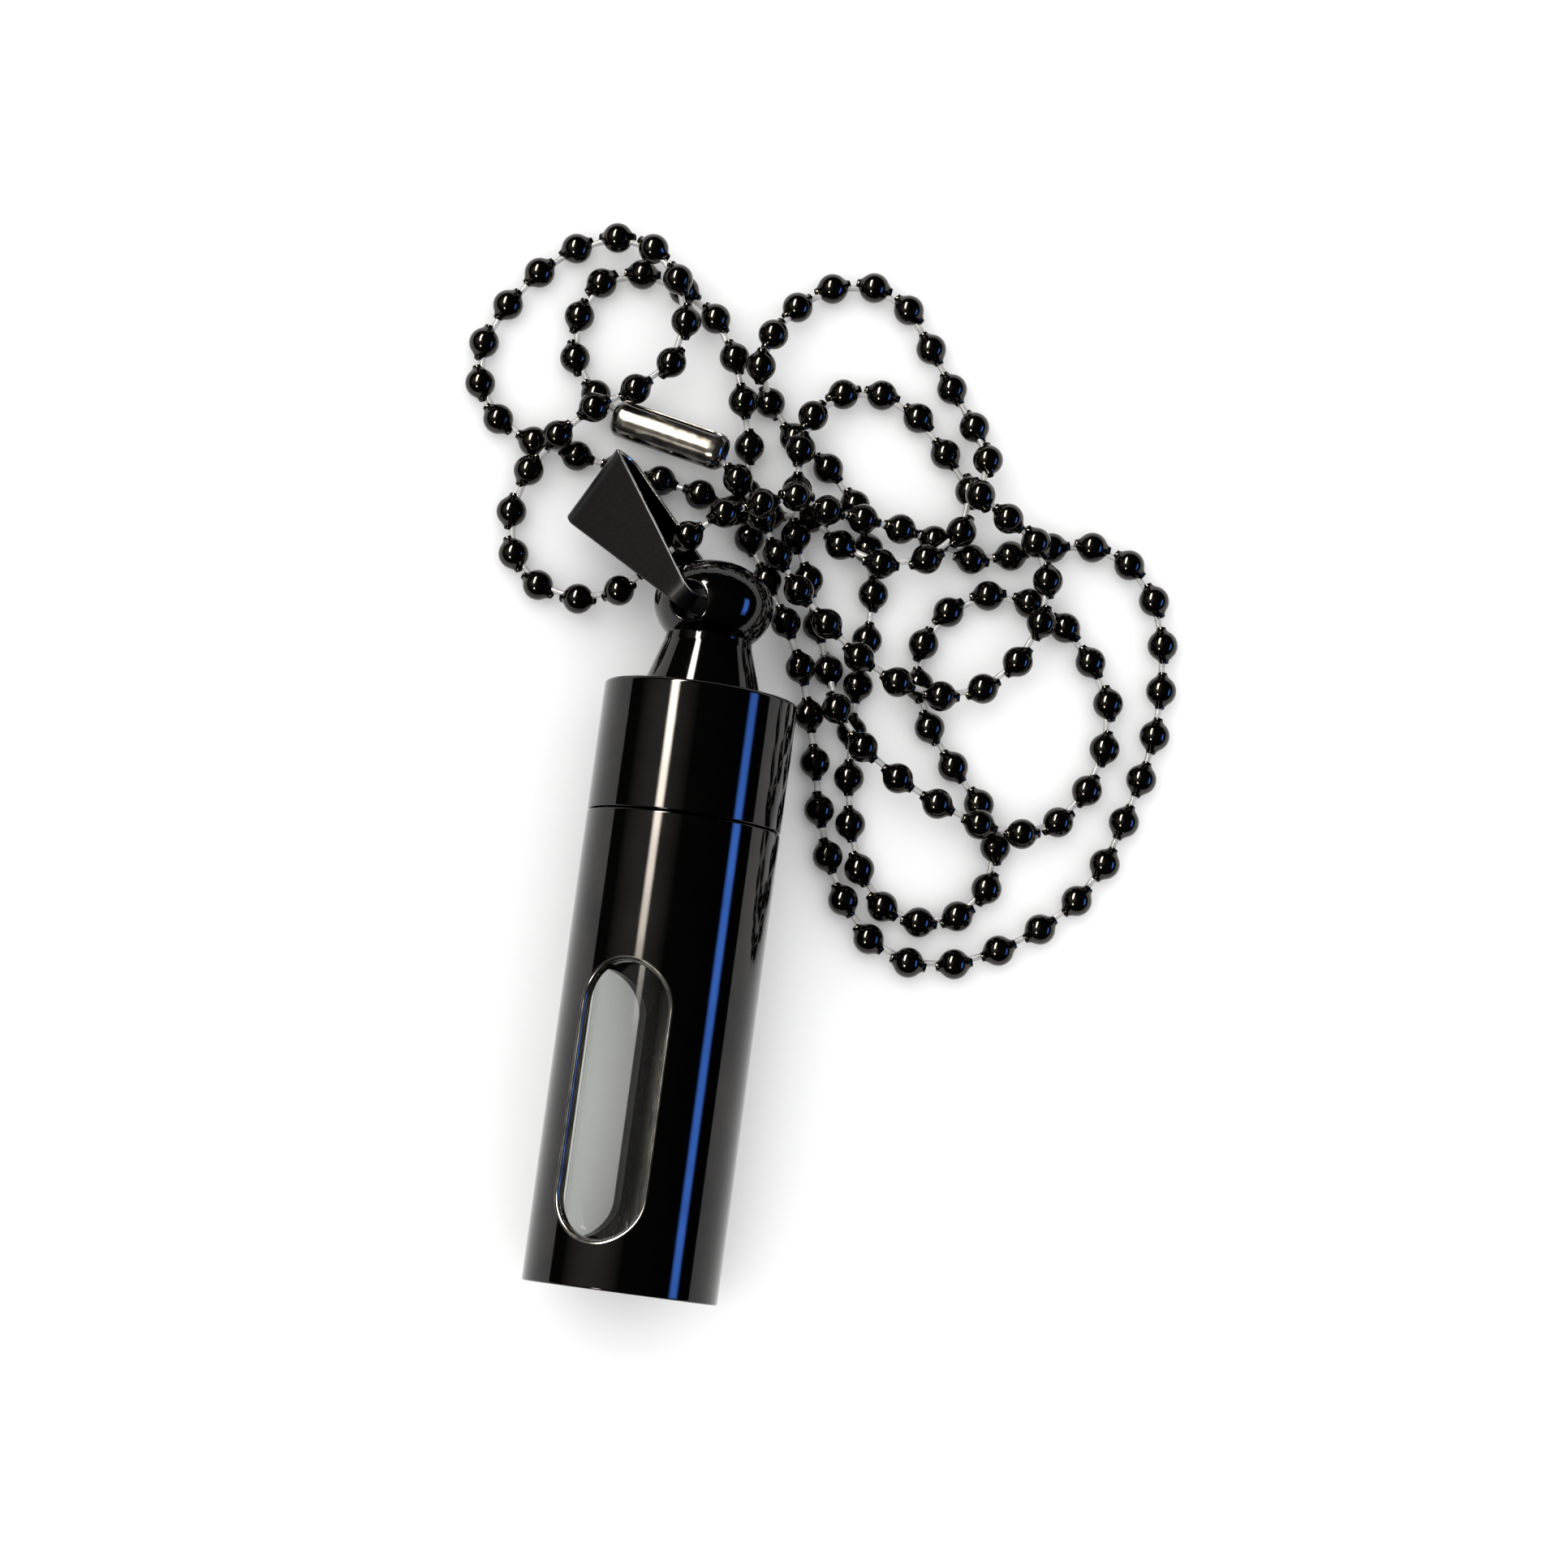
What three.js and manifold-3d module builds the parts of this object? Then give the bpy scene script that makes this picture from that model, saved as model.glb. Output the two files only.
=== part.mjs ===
// Screw-cap capsule pendant with a windowed case and a glass tube, on a ball chain in a loose pile.
// Millimetres, +Z up. The origin is the centre of the case's flat end face, +Y runs along the
// pendant's axis towards the cap, and the pendant lies on a table at z = -CASE_R.
import * as THREE from "three";
import { mergeVertices } from "three/addons/utils/BufferGeometryUtils.js";
import Module from "manifold-3d";

const manifold = await Module();
manifold.setup();

// ---- driving dimensions: _R is a radius, _Y0 and _Y1 are the lower and upper ends along Y -------
const CASE_R = 7.5; // outside of case and cap
const BORE_R = 6.4;
const CASE_LENGTH = 36.2; // flat end face to the mouth
const BASE_THICKNESS = 1.5; // closed end of the case
const CASE_EDGE = 0.45; // rounding of the case's closed end
const CAP_EDGE = 0.6; // rounding of the cap's top
const EDGE_MIDDLE = 0.3; // inset of a rounding's middle point, as a share of the rounding
const RIM_CHAMFER = 0.25; // outer edges where case and cap meet
const MOUTH_CHAMFER_R = 0.15; // widening of the bore at the mouth
const MOUTH_CHAMFER_Y = 0.2;
const SEAT_GAP = 0.02; // under the lower gasket and under the finial's neck

const WINDOW_Y0 = 3.7;
const WINDOW_Y1 = 24.65;
const WINDOW_WIDTH = 6.7; // straight across
const WINDOW_DEPTH = 9; // cutter length from the axis outwards
const UPPER_WINDOW_DEG = 20; // turned from +Z towards -X
const LOWER_WINDOW_DEG = 140; // faces down and towards -X

const GLASS_R = 5.95; // outside
const GLASS_WALL = 0.9;
const GLASS_FLOOR = 1.0;
const GLASS_Y0 = 2.5;
const GLASS_Y1 = 31.4;
const LOWER_GASKET_R = 5.8; // at its end faces
const UPPER_GASKET_R = 5.6;
const GASKET_BULGE = 0.3;
const GASKET_GAP = 0.05; // to the glass and the plug

const CAP_Y0 = 36.3; // underside of the cap's rim
const CAP_Y1 = 46.4; // top of the cap
const PLUG_R = 6.1; // threaded plug, over the thread
const PLUG_Y0 = 32.7;
const PLUG_CHAMFER = 0.5;
const PLUG_RELIEF_R = 0.35; // narrowing under the cap's rim
const PLUG_RELIEF_Y = 0.45;
const STUD_HOLE_R = 1.65;
const STUD_HOLE_DEPTH = 3.2;

const STUD_R = 1.5; // finial's stud, in the cap
const STUD_LENGTH = 3.0;
const NECK_R0 = 4.56; // cone neck, at the cap
const NECK_R1 = 3.34; // at the waist, where the ball starts
const NECK_FOOT = 0.3; // top of the short straight foot, above the cap
const CONE_END_R = NECK_R1 + 0.1;
const CONE_END_Y = 50.15;
const BALL_Y = 53.5; // widest level of the flattened ball
const BALL_R = 4.65;
const BALL_RISE = 3.35; // height above the widest level
const BALL_DROP = 4.0; // half height of the fuller curve below it
const BALL_STEPS = 11;

const EYE_R = 1.15; // cross-hole, in the middle
const EYE_FLARE = 0.35; // extra radius at EYE_FLARE_REACH from the middle
const EYE_FLARE_REACH = 4.2;
const EYE_FLARE_LIMIT = 1.3; // largest multiple of EYE_FLARE
const EYE_HALF_LENGTH = 7; // of the cutter
const EYE_STEPS = 10;
const EYE_OFFSET = 0.25; // from the bail's origin, along BAIL_U

const BAIL_THICKNESS = 0.5; // sheet thickness
const BAIL_EYE_HALF_WIDTH = 0.78;
const BAIL_FOLD_HALF_WIDTH = 3.3;
const BAIL_TAPER_START = 0.6; // along BAIL_U
const BAIL_TAPER_LENGTH = 12.974;
const BAIL_SKEW = 0.14; // the fold runs this far along the strip per unit across it
const MIN_MITRE = 0.7; // limits the stretch of the section at the bends

const BEAD_R = 1.2;
const SHOULDER_R = 0.96; // bead section between its middle and its ends
const SHOULDER_OFFSET = 0.72;
const BARE_END_R = 0.43; // end of a bead without a link wire
const BARE_END_OFFSET = 1.12;
const WIRE_R = 0.25; // link wire between two beads
const WIRE_START = 1.17; // where the wire meets its own bead, from the bead's centre
const WIRE_TO_BEAD = BEAD_R + 0.12; // where it stops short of a fixed bead's centre
const WIRE_TO_SWIVEL = 0.75; // where it stops inside a swivel bead's bore
const CHAIN_SIDES = 6;
const SWIVEL_BORE_R = 0.62;
const SWIVEL_SHOULDER_R = 0.97;
const SWIVEL_SHOULDER_OFFSET = 0.7;

const SLEEVE_R = 1.48; // connector sleeve, outside
const SLEEVE_BORE_R = 1.28;
const SLEEVE_OVERHANG = 1.3; // sleeve length beyond the centre of each end bead
const SLEEVE_END_R = 1.02; // opening at each end
const SLEEVE_SLOT_WIDTH = 0.55; // long seam
const SLEEVE_SLOT_MARGIN = 0.8; // uncut length at each end
const SLEEVE_SLOT_DEPTH = 2; // of the cutter
const SLEEVE_SLOT_OFFSET = 1.6; // cutter's centre, from the sleeve's axis
const SLEEVE_SLOT_FACING = new THREE.Vector3(0.35, 0.75, 0.6);

// ---- finishes -----------------------------------------------------------------------------------
const blackMetal = new THREE.MeshStandardMaterial({
  color: 0x0b0b0d,
  roughness: 0.1,
  metalness: 1,
});
const satinMetal = new THREE.MeshStandardMaterial({
  color: 0x2a292c,
  roughness: 0.35,
  metalness: 1,
});
const silver = new THREE.MeshStandardMaterial({ color: 0xb8b3ab, roughness: 0.2, metalness: 1 });
const glass = new THREE.MeshStandardMaterial({
  color: 0xe8f0ee,
  roughness: 0.03,
  metalness: 0,
  transparent: true,
  opacity: 0.35,
});
const rubber = new THREE.MeshStandardMaterial({ color: 0x1a1a1a, roughness: 0.7, metalness: 0 });

// ---- helpers ------------------------------------------------------------------------------------
const group = new THREE.Group();

function addMesh(name, geometry, material) {
  const mesh = new THREE.Mesh(geometry, material);
  mesh.name = name;
  group.add(mesh);
}

// Strips and welds the geometry, so that its seams close.
function toSolid(geometry) {
  geometry.deleteAttribute("normal");
  geometry.deleteAttribute("uv");
  const welded = mergeVertices(geometry, 1e-4);
  return new manifold.Manifold(
    new manifold.Mesh({
      numProp: 3,
      vertProperties: welded.attributes.position.array,
      triVerts: new Uint32Array(welded.index.array),
    }),
  );
}

function indexedGeometry(positions, index) {
  const geometry = new THREE.BufferGeometry();
  geometry.setAttribute("position", new THREE.Float32BufferAttribute(positions, 3));
  geometry.setIndex(index);
  geometry.computeVertexNormals();
  return geometry;
}

function toGeometry(solid) {
  const mesh = solid.getMesh();
  return indexedGeometry(mesh.vertProperties, Array.from(mesh.triVerts));
}

// Turns a profile of [radius, y] points about the Y axis.
function turned(profile, segments) {
  return new THREE.LatheGeometry(
    profile.map(([radius, y]) => new THREE.Vector2(radius, y)),
    segments,
  );
}

// Rotation that takes the Y axis to a unit direction.
function turnFromY(direction) {
  return new THREE.Quaternion().setFromUnitVectors(new THREE.Vector3(0, 1, 0), direction);
}

// Triangles of the wall between two rings of vertices, numbered ring after ring.
function wallBetween(ring, nextRing, sides) {
  const triangles = [];
  for (let k = 0; k < sides; k++) {
    const next = (k + 1) % sides;
    const here = sides * ring;
    const there = sides * nextRing;
    triangles.push(here + k, here + next, there + next);
    triangles.push(here + k, there + next, there + k);
  }
  return triangles;
}

// ---- case: a closed-end tube with two stadium windows -------------------------------------------
function windowCutter(degrees) {
  const radius = WINDOW_WIDTH / 2;
  const shape = new THREE.Shape();
  shape.absarc(0, WINDOW_Y0 + radius, radius, Math.PI, 2 * Math.PI, false);
  shape.absarc(0, WINDOW_Y1 - radius, radius, 0, Math.PI, false);
  shape.closePath();
  const cutter = new THREE.ExtrudeGeometry(shape, {
    depth: WINDOW_DEPTH,
    bevelEnabled: false,
    curveSegments: 9,
  });
  cutter.rotateY(THREE.MathUtils.degToRad(-degrees));
  return toSolid(cutter);
}

function caseGeometry() {
  const profile = [
    [0, 0],
    [CASE_R - CASE_EDGE, 0],
    [CASE_R - CASE_EDGE * EDGE_MIDDLE, CASE_EDGE * EDGE_MIDDLE],
    [CASE_R, CASE_EDGE],
    [CASE_R, CASE_LENGTH - RIM_CHAMFER],
    [CASE_R - RIM_CHAMFER, CASE_LENGTH],
    [BORE_R + MOUTH_CHAMFER_R, CASE_LENGTH],
    [BORE_R, CASE_LENGTH - MOUTH_CHAMFER_Y],
    [BORE_R, BASE_THICKNESS],
    [0, BASE_THICKNESS],
  ];
  const body = toSolid(turned(profile, 52))
    .subtract(windowCutter(UPPER_WINDOW_DEG))
    .subtract(windowCutter(LOWER_WINDOW_DEG));
  return toGeometry(body);
}

// ---- glass tube, open at the top, between two rubber gaskets ------------------------------------
function glassGeometry() {
  const innerR = GLASS_R - GLASS_WALL;
  const floorY = GLASS_Y0 + GLASS_FLOOR;
  const profile = [
    [0, GLASS_Y0],
    [GLASS_R - 1.2, GLASS_Y0],
    [GLASS_R - 0.35, GLASS_Y0 + 0.35],
    [GLASS_R, GLASS_Y0 + 1.2],
    [GLASS_R, GLASS_Y1],
    [innerR, GLASS_Y1],
    [innerR, floorY + 0.9],
    [innerR - 0.8, floorY],
    [0, floorY],
  ];
  return turned(profile, 32);
}

// A disc whose rim bulges outwards at bulgeY.
function gasketGeometry({ faceR, y0, bulgeY, y1 }) {
  const profile = [
    [0, y0],
    [faceR, y0],
    [faceR + GASKET_BULGE, bulgeY],
    [faceR, y1],
    [0, y1],
  ];
  return turned(profile, 24);
}

// ---- cap with its plug and a blind hole for the finial's stud -----------------------------------
function capGeometry() {
  const profile = [
    [0, PLUG_Y0],
    [PLUG_R - PLUG_CHAMFER, PLUG_Y0],
    [PLUG_R, PLUG_Y0 + PLUG_CHAMFER],
    [PLUG_R, CAP_Y0 - PLUG_RELIEF_Y],
    [PLUG_R - PLUG_RELIEF_R, CAP_Y0],
    [CASE_R - RIM_CHAMFER, CAP_Y0],
    [CASE_R, CAP_Y0 + RIM_CHAMFER],
    [CASE_R, CAP_Y1 - CAP_EDGE],
    [CASE_R - CAP_EDGE * EDGE_MIDDLE, CAP_Y1 - CAP_EDGE * EDGE_MIDDLE],
    [CASE_R - CAP_EDGE, CAP_Y1],
    [STUD_HOLE_R, CAP_Y1],
    [STUD_HOLE_R, CAP_Y1 - STUD_HOLE_DEPTH],
    [0, CAP_Y1 - STUD_HOLE_DEPTH],
  ];
  return turned(profile, 52);
}

// ---- the bail's own axes, which the finial's cross-hole shares ----------------------------------
const BAIL_ORIGIN = new THREE.Vector3(-0.1, 52.85, 0);
const BAIL_U = new THREE.Vector3(-0.7149, 0.6447, -0.2707); // from the eye to the fold
const BAIL_V = new THREE.Vector3(0.5895, 0.7639, 0.2625); // across the strip
const BAIL_W = new THREE.Vector3(-0.376, -0.028, 0.9262); // along the eye's axis

// ---- finial: stud, cone neck and flattened ball with a flared cross-hole ------------------------
function eyeCutter() {
  const profile = [[0, -EYE_HALF_LENGTH]];
  for (let i = 0; i <= EYE_STEPS; i++) {
    const y = EYE_HALF_LENGTH * ((2 * i) / EYE_STEPS - 1);
    const flare = Math.min(EYE_FLARE_LIMIT, (y / EYE_FLARE_REACH) ** 2);
    profile.push([EYE_R + EYE_FLARE * flare, y]);
  }
  profile.push([0, EYE_HALF_LENGTH]);
  const cutter = turned(profile, 20);
  cutter.applyQuaternion(turnFromY(BAIL_W.clone().normalize()));
  const centre = BAIL_ORIGIN.clone().addScaledVector(BAIL_U, EYE_OFFSET);
  cutter.translate(centre.x, centre.y, centre.z);
  return toSolid(cutter);
}

function finialGeometry() {
  const seatY = CAP_Y1 + SEAT_GAP;
  const profile = [
    [0, CAP_Y1 - STUD_LENGTH],
    [STUD_R, CAP_Y1 - STUD_LENGTH],
    [STUD_R, seatY],
    [NECK_R0, seatY],
    [NECK_R0, CAP_Y1 + NECK_FOOT],
    [CONE_END_R, CONE_END_Y],
  ];
  // The angle is measured from the ball's top and runs up from the waist.
  const waistAngle = Math.PI - Math.asin(NECK_R1 / BALL_R);
  for (let i = 0; i < BALL_STEPS; i++) {
    const angle = waistAngle * (1 - i / BALL_STEPS);
    const height = Math.cos(angle) < 0 ? BALL_DROP : BALL_RISE;
    profile.push([BALL_R * Math.sin(angle), BALL_Y + height * Math.cos(angle)]);
  }
  profile.push([0, BALL_Y + BALL_RISE]);
  return toGeometry(toSolid(turned(profile, 28)).subtract(eyeCutter()));
}

// ---- bail: a tapered strip folded into a closed loop through the finial's eye -------------------
// The strip's centre line as [along BAIL_U, along BAIL_W].
const BAIL_PATH = [
  [0.25, 4.15], [0.34, 4.55], [0.61, 4.87], [0.98, 5.03], [1.40, 5.02], [3.77, 4.34],
  [6.15, 3.66], [8.53, 2.99], [10.91, 2.31], [13.29, 1.64], [13.69, 1.46], [14.04, 1.19],
  [14.30, 0.84], [14.47, 0.44], [14.52, 0.00], [14.47, -0.44], [14.30, -0.84], [14.04, -1.19],
  [13.69, -1.46], [13.29, -1.64], [10.91, -2.31], [8.53, -2.99], [6.15, -3.66], [3.77, -4.34],
  [1.40, -5.02], [0.98, -5.03], [0.61, -4.87], [0.34, -4.55], [0.25, -4.15], [0.25, -2.77],
  [0.25, -1.38], [0.25, 0.00], [0.25, 1.38], [0.25, 2.77],
].map(([u, w]) => new THREE.Vector2(u, w));

// Corners of the strip's section as [side along BAIL_V, side through the sheet].
const BAIL_CORNERS = [[-1, -1], [1, -1], [1, 1], [-1, 1]];

function bailGeometry() {
  const count = BAIL_PATH.length;
  const positions = [];
  const index = [];
  BAIL_PATH.forEach((point, i) => {
    const next = (i + 1) % count;
    const arriving = point.clone().sub(BAIL_PATH[(i + count - 1) % count]).normalize();
    const leaving = BAIL_PATH[next].clone().sub(point).normalize();
    const tangent = arriving.add(leaving).normalize();
    const normal = new THREE.Vector2(-tangent.y, tangent.x);
    // The mitre keeps the sheet's thickness through the bends.
    const mitre = 1 / Math.max(MIN_MITRE, tangent.dot(leaving));
    const taper = THREE.MathUtils.clamp((point.x - BAIL_TAPER_START) / BAIL_TAPER_LENGTH, 0, 1);
    const halfWidth = THREE.MathUtils.lerp(BAIL_EYE_HALF_WIDTH, BAIL_FOLD_HALF_WIDTH, taper);
    for (const [side, face] of BAIL_CORNERS) {
      const offset = ((face * BAIL_THICKNESS) / 2) * mitre;
      const skew = BAIL_SKEW * side * halfWidth * taper;
      const corner = BAIL_ORIGIN.clone()
        .addScaledVector(BAIL_U, point.x + normal.x * offset + skew)
        .addScaledVector(BAIL_W, point.y + normal.y * offset)
        .addScaledVector(BAIL_V, side * halfWidth);
      positions.push(...corner.toArray());
    }
    index.push(...wallBetween(i, next, BAIL_CORNERS.length));
  });
  // U, V, W is left-handed, so the order is reversed to make the triangles face outwards.
  return indexedGeometry(positions, index.reverse());
}

// ---- ball chain ---------------------------------------------------------------------------------
// Bead centres as [x, y, z], from the bead in one end of the connector round to the other.
const BEADS = [
  [-2.11, 66.39, -4.61], [0.44, 64.20, -3.96], [2.64, 61.44, -3.78], [4.35, 58.61, -3.78],
  [6.36, 56.02, -3.76], [8.92, 53.73, -3.88], [11.74, 51.51, -4.24], [15.00, 49.98, -4.45],
  [18.54, 49.38, -4.79], [21.74, 50.48, -5.26], [24.18, 52.96, -5.20], [25.62, 56.20, -4.72],
  [25.68, 59.58, -4.60], [24.37, 62.38, -4.16], [21.93, 63.86, -3.45], [19.52, 65.48, -3.70],
  [19.79, 68.57, -4.88], [18.42, 71.26, -5.99], [16.28, 74.13, -6.28], [14.23, 77.11, -6.27],
  [12.06, 80.00, -6.27], [9.10, 81.42, -6.28], [5.82, 80.90, -6.27], [3.26, 78.88, -5.63],
  [1.67, 76.20, -4.51], [1.04, 73.40, -3.85], [2.11, 71.07, -6.29], [4.41, 68.53, -6.29],
  [7.37, 66.45, -6.27], [9.85, 63.81, -6.28], [11.35, 60.48, -6.29], [12.23, 56.92, -6.27],
  [12.21, 53.23, -6.27], [11.98, 49.55, -6.27], [11.97, 45.87, -6.28], [12.23, 42.20, -6.28],
  [12.81, 38.59, -6.28], [13.98, 35.16, -6.27], [16.17, 32.48, -6.27], [19.14, 31.63, -6.27],
  [22.08, 32.50, -6.27], [24.07, 34.95, -6.27], [24.33, 38.30, -6.28], [22.63, 41.48, -6.28],
  [20.23, 44.16, -6.27], [18.01, 46.97, -6.27], [16.71, 50.23, -6.28], [16.68, 53.50, -6.27],
  [18.30, 56.31, -6.27], [21.24, 58.03, -6.27], [24.57, 57.87, -6.28], [27.60, 56.31, -6.28],
  [29.93, 53.84, -6.27], [31.71, 50.77, -6.27], [31.88, 47.17, -6.27], [30.92, 43.70, -6.27],
  [28.96, 40.87, -5.90], [26.21, 39.47, -4.99], [22.79, 39.73, -4.48], [19.33, 40.89, -4.56],
  [16.01, 42.46, -4.54], [12.97, 44.52, -4.42], [10.56, 47.29, -4.76], [9.51, 50.45, -6.28],
  [8.20, 53.87, -6.29], [6.99, 57.29, -5.84], [5.56, 60.48, -4.95], [5.18, 64.05, -4.51],
  [5.04, 67.30, -4.19], [5.65, 70.23, -4.92], [7.79, 72.45, -5.84], [10.83, 72.88, -6.27],
  [13.93, 71.44, -6.27], [16.44, 68.84, -6.27], [18.75, 66.08, -6.01], [18.46, 62.62, -4.99],
  [15.99, 60.00, -4.64], [12.49, 59.13, -4.50], [9.12, 60.29, -5.16], [6.59, 62.34, -6.27],
  [3.20, 62.07, -6.15], [0.36, 61.82, -4.77], [-2.36, 62.81, -5.32], [-5.63, 63.62, -6.00],
  [-9.04, 64.23, -6.27], [-12.50, 64.76, -6.28], [-16.05, 65.44, -6.27], [-19.07, 66.86, -6.27],
  [-20.89, 69.53, -6.27], [-21.05, 72.81, -6.27], [-19.59, 76.10, -6.27], [-17.47, 79.03, -6.27],
  [-14.82, 81.37, -6.27], [-11.67, 82.54, -5.72], [-8.67, 81.79, -4.63], [-6.39, 79.44, -3.83],
  [-5.30, 76.19, -4.05], [-6.02, 72.81, -4.26], [-8.51, 70.30, -4.10], [-11.56, 68.35, -3.97],
  [-14.12, 65.89, -4.71], [-16.06, 62.97, -5.61], [-16.99, 59.63, -6.21], [-16.36, 56.30, -6.28],
  [-14.10, 54.08, -6.20], [-10.78, 53.30, -5.48], [-7.61, 54.16, -4.07], [-5.16, 56.23, -2.44],
  [-2.77, 58.79, -1.79], [-0.18, 60.93, -1.40], [2.60, 62.05, -1.34], [5.20, 63.14, -2.16],
  [7.78, 62.61, -3.48], [10.62, 62.45, -4.31], [13.69, 62.24, -5.39], [16.46, 61.84, -6.28],
  [19.55, 60.76, -6.28], [22.62, 61.45, -6.27], [25.74, 62.51, -6.27], [28.94, 62.98, -6.27],
  [32.01, 61.97, -6.27], [34.30, 59.38, -6.27], [35.41, 55.94, -6.27], [35.74, 52.33, -6.27],
  [35.66, 48.71, -6.27], [35.05, 45.14, -6.26], [34.11, 41.61, -6.27], [33.02, 38.12, -6.27],
  [31.20, 34.96, -6.27], [28.63, 32.35, -6.27], [25.62, 30.26, -6.27], [22.31, 28.74, -6.27],
  [18.73, 28.39, -6.27], [15.42, 29.81, -6.27], [13.05, 32.56, -6.28], [11.39, 35.84, -6.28],
  [10.24, 39.37, -6.27], [9.41, 43.03, -6.23], [8.47, 46.67, -5.99], [7.31, 50.17, -5.08],
  [5.67, 53.57, -5.02], [3.73, 56.77, -5.39], [1.91, 59.96, -5.92], [1.23, 63.61, -6.28],
  [0.96, 67.25, -5.92], [0.02, 70.66, -5.05], [-1.15, 74.09, -5.23], [-3.08, 77.11, -5.72],
  [-5.89, 79.17, -6.28], [-9.33, 80.00, -6.28], [-12.46, 78.85, -6.27], [-13.84, 75.96, -6.27],
  [-13.73, 72.56, -6.27], [-11.66, 69.79, -6.04], [-8.63, 67.94, -5.78],
].map((centre) => new THREE.Vector3(...centre));

// Number of beads in each piece of chain, in order. A single bead is a swivel, free on its link.
const STRETCH_COUNTS = [
  6, 1, 5, 5, 3, 1, 3, 4, 1, 7, 1, 8, 7, 2, 1, 2, 6, 6, 6, 6,
  6, 3, 1, 2, 8, 2, 1, 2, 8, 7, 3, 1, 5, 1, 3, 5, 6, 5, 1, 4,
];
// Last beads of the stretches that carry the link wire to the next stretch themselves.
const WIRED_ENDS = new Set([23, 56, 92, 105, 133]);

let beadCount = 0;
const STRETCHES = STRETCH_COUNTS.map((count) => {
  const first = beadCount;
  beadCount += count;
  return { first, last: beadCount - 1 };
});
const SWIVELS = new Set(
  STRETCHES.filter(({ first, last }) => first === last).map(({ first }) => first),
);

const directionBetween = (i, j) => BEADS[j].clone().sub(BEADS[i]).normalize();
const wireReach = (bead) => (SWIVELS.has(bead) ? WIRE_TO_SWIVEL : WIRE_TO_BEAD);

// A ring of a sweep, shifted along its direction from a bead's centre.
function ringAt(bead, direction, shift, radius) {
  return { centre: BEADS[bead].clone().addScaledVector(direction, shift), direction, radius };
}

// A closed body through the rings. Each ring takes over the turn of the one before it.
function sweep(rings) {
  const positions = [];
  const index = [];
  let side = new THREE.Vector3(0, 0, 1).cross(rings[0].direction).normalize();
  for (const { centre, direction, radius } of rings) {
    side = side.clone().addScaledVector(direction, -side.dot(direction)).normalize();
    const up = direction.clone().cross(side);
    for (let k = 0; k < CHAIN_SIDES; k++) {
      const angle = (2 * Math.PI * k) / CHAIN_SIDES;
      const corner = centre
        .clone()
        .addScaledVector(side, radius * Math.cos(angle))
        .addScaledVector(up, radius * Math.sin(angle));
      positions.push(...corner.toArray());
    }
  }
  for (let i = 0; i + 1 < rings.length; i++) index.push(...wallBetween(i, i + 1, CHAIN_SIDES));
  const end = CHAIN_SIDES * (rings.length - 1);
  for (let k = 1; k + 1 < CHAIN_SIDES; k++) {
    index.push(0, k + 1, k);
    index.push(end, end + k, end + k + 1);
  }
  return indexedGeometry(positions, index);
}

// Fixed beads from first to last, with the link wires that belong to them.
function chainRunGeometry(first, last) {
  const wireBefore = first > 0 && !WIRED_ENDS.has(first - 1);
  const wireAfter = SWIVELS.has(last + 1) || WIRED_ENDS.has(last);
  const rings = [];
  if (wireBefore) {
    const direction = directionBetween(first - 1, first);
    rings.push(ringAt(first - 1, direction, wireReach(first - 1), WIRE_R));
  }
  for (let i = first; i <= last; i++) {
    const before = i > 0 ? directionBetween(i - 1, i) : directionBetween(i, i + 1);
    const after = i < BEADS.length - 1 ? directionBetween(i, i + 1) : before;
    const along = before.clone().add(after).normalize();
    const bareStart = i === first && !wireBefore;
    const bareEnd = i === last && !wireAfter;
    rings.push(
      bareStart
        ? ringAt(i, along, -BARE_END_OFFSET, BARE_END_R)
        : ringAt(i, before, -WIRE_START, WIRE_R),
      ringAt(i, along, -SHOULDER_OFFSET, SHOULDER_R),
      ringAt(i, along, 0, BEAD_R),
      ringAt(i, along, SHOULDER_OFFSET, SHOULDER_R),
      bareEnd
        ? ringAt(i, along, BARE_END_OFFSET, BARE_END_R)
        : ringAt(i, after, WIRE_START, WIRE_R),
    );
  }
  if (wireAfter) {
    const direction = directionBetween(last, last + 1);
    rings.push(ringAt(last + 1, direction, -wireReach(last + 1), WIRE_R));
  }
  return sweep(rings);
}

// A bead with a straight bore for the wires of its neighbours.
function swivelGeometry(bead) {
  const boreEnd = Math.sqrt(BEAD_R ** 2 - SWIVEL_BORE_R ** 2);
  const profile = [
    [SWIVEL_BORE_R, -boreEnd],
    [SWIVEL_SHOULDER_R, -SWIVEL_SHOULDER_OFFSET],
    [BEAD_R, 0],
    [SWIVEL_SHOULDER_R, SWIVEL_SHOULDER_OFFSET],
    [SWIVEL_BORE_R, boreEnd],
    [SWIVEL_BORE_R, -boreEnd],
  ];
  const geometry = turned(profile, 10);
  geometry.applyQuaternion(turnFromY(directionBetween(bead - 1, bead + 1)));
  geometry.translate(...BEADS[bead].toArray());
  return toGeometry(toSolid(geometry));
}

function addChain() {
  let runs = 0;
  let swivels = 0;
  for (const { first, last } of STRETCHES) {
    if (first === last) {
      swivels++;
      addMesh(`swivel_bead_${swivels}`, swivelGeometry(first), blackMetal);
    } else {
      runs++;
      const number = String(runs).padStart(2, "0");
      addMesh(`chain_run_${number}`, chainRunGeometry(first, last), blackMetal);
    }
  }
}

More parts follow.
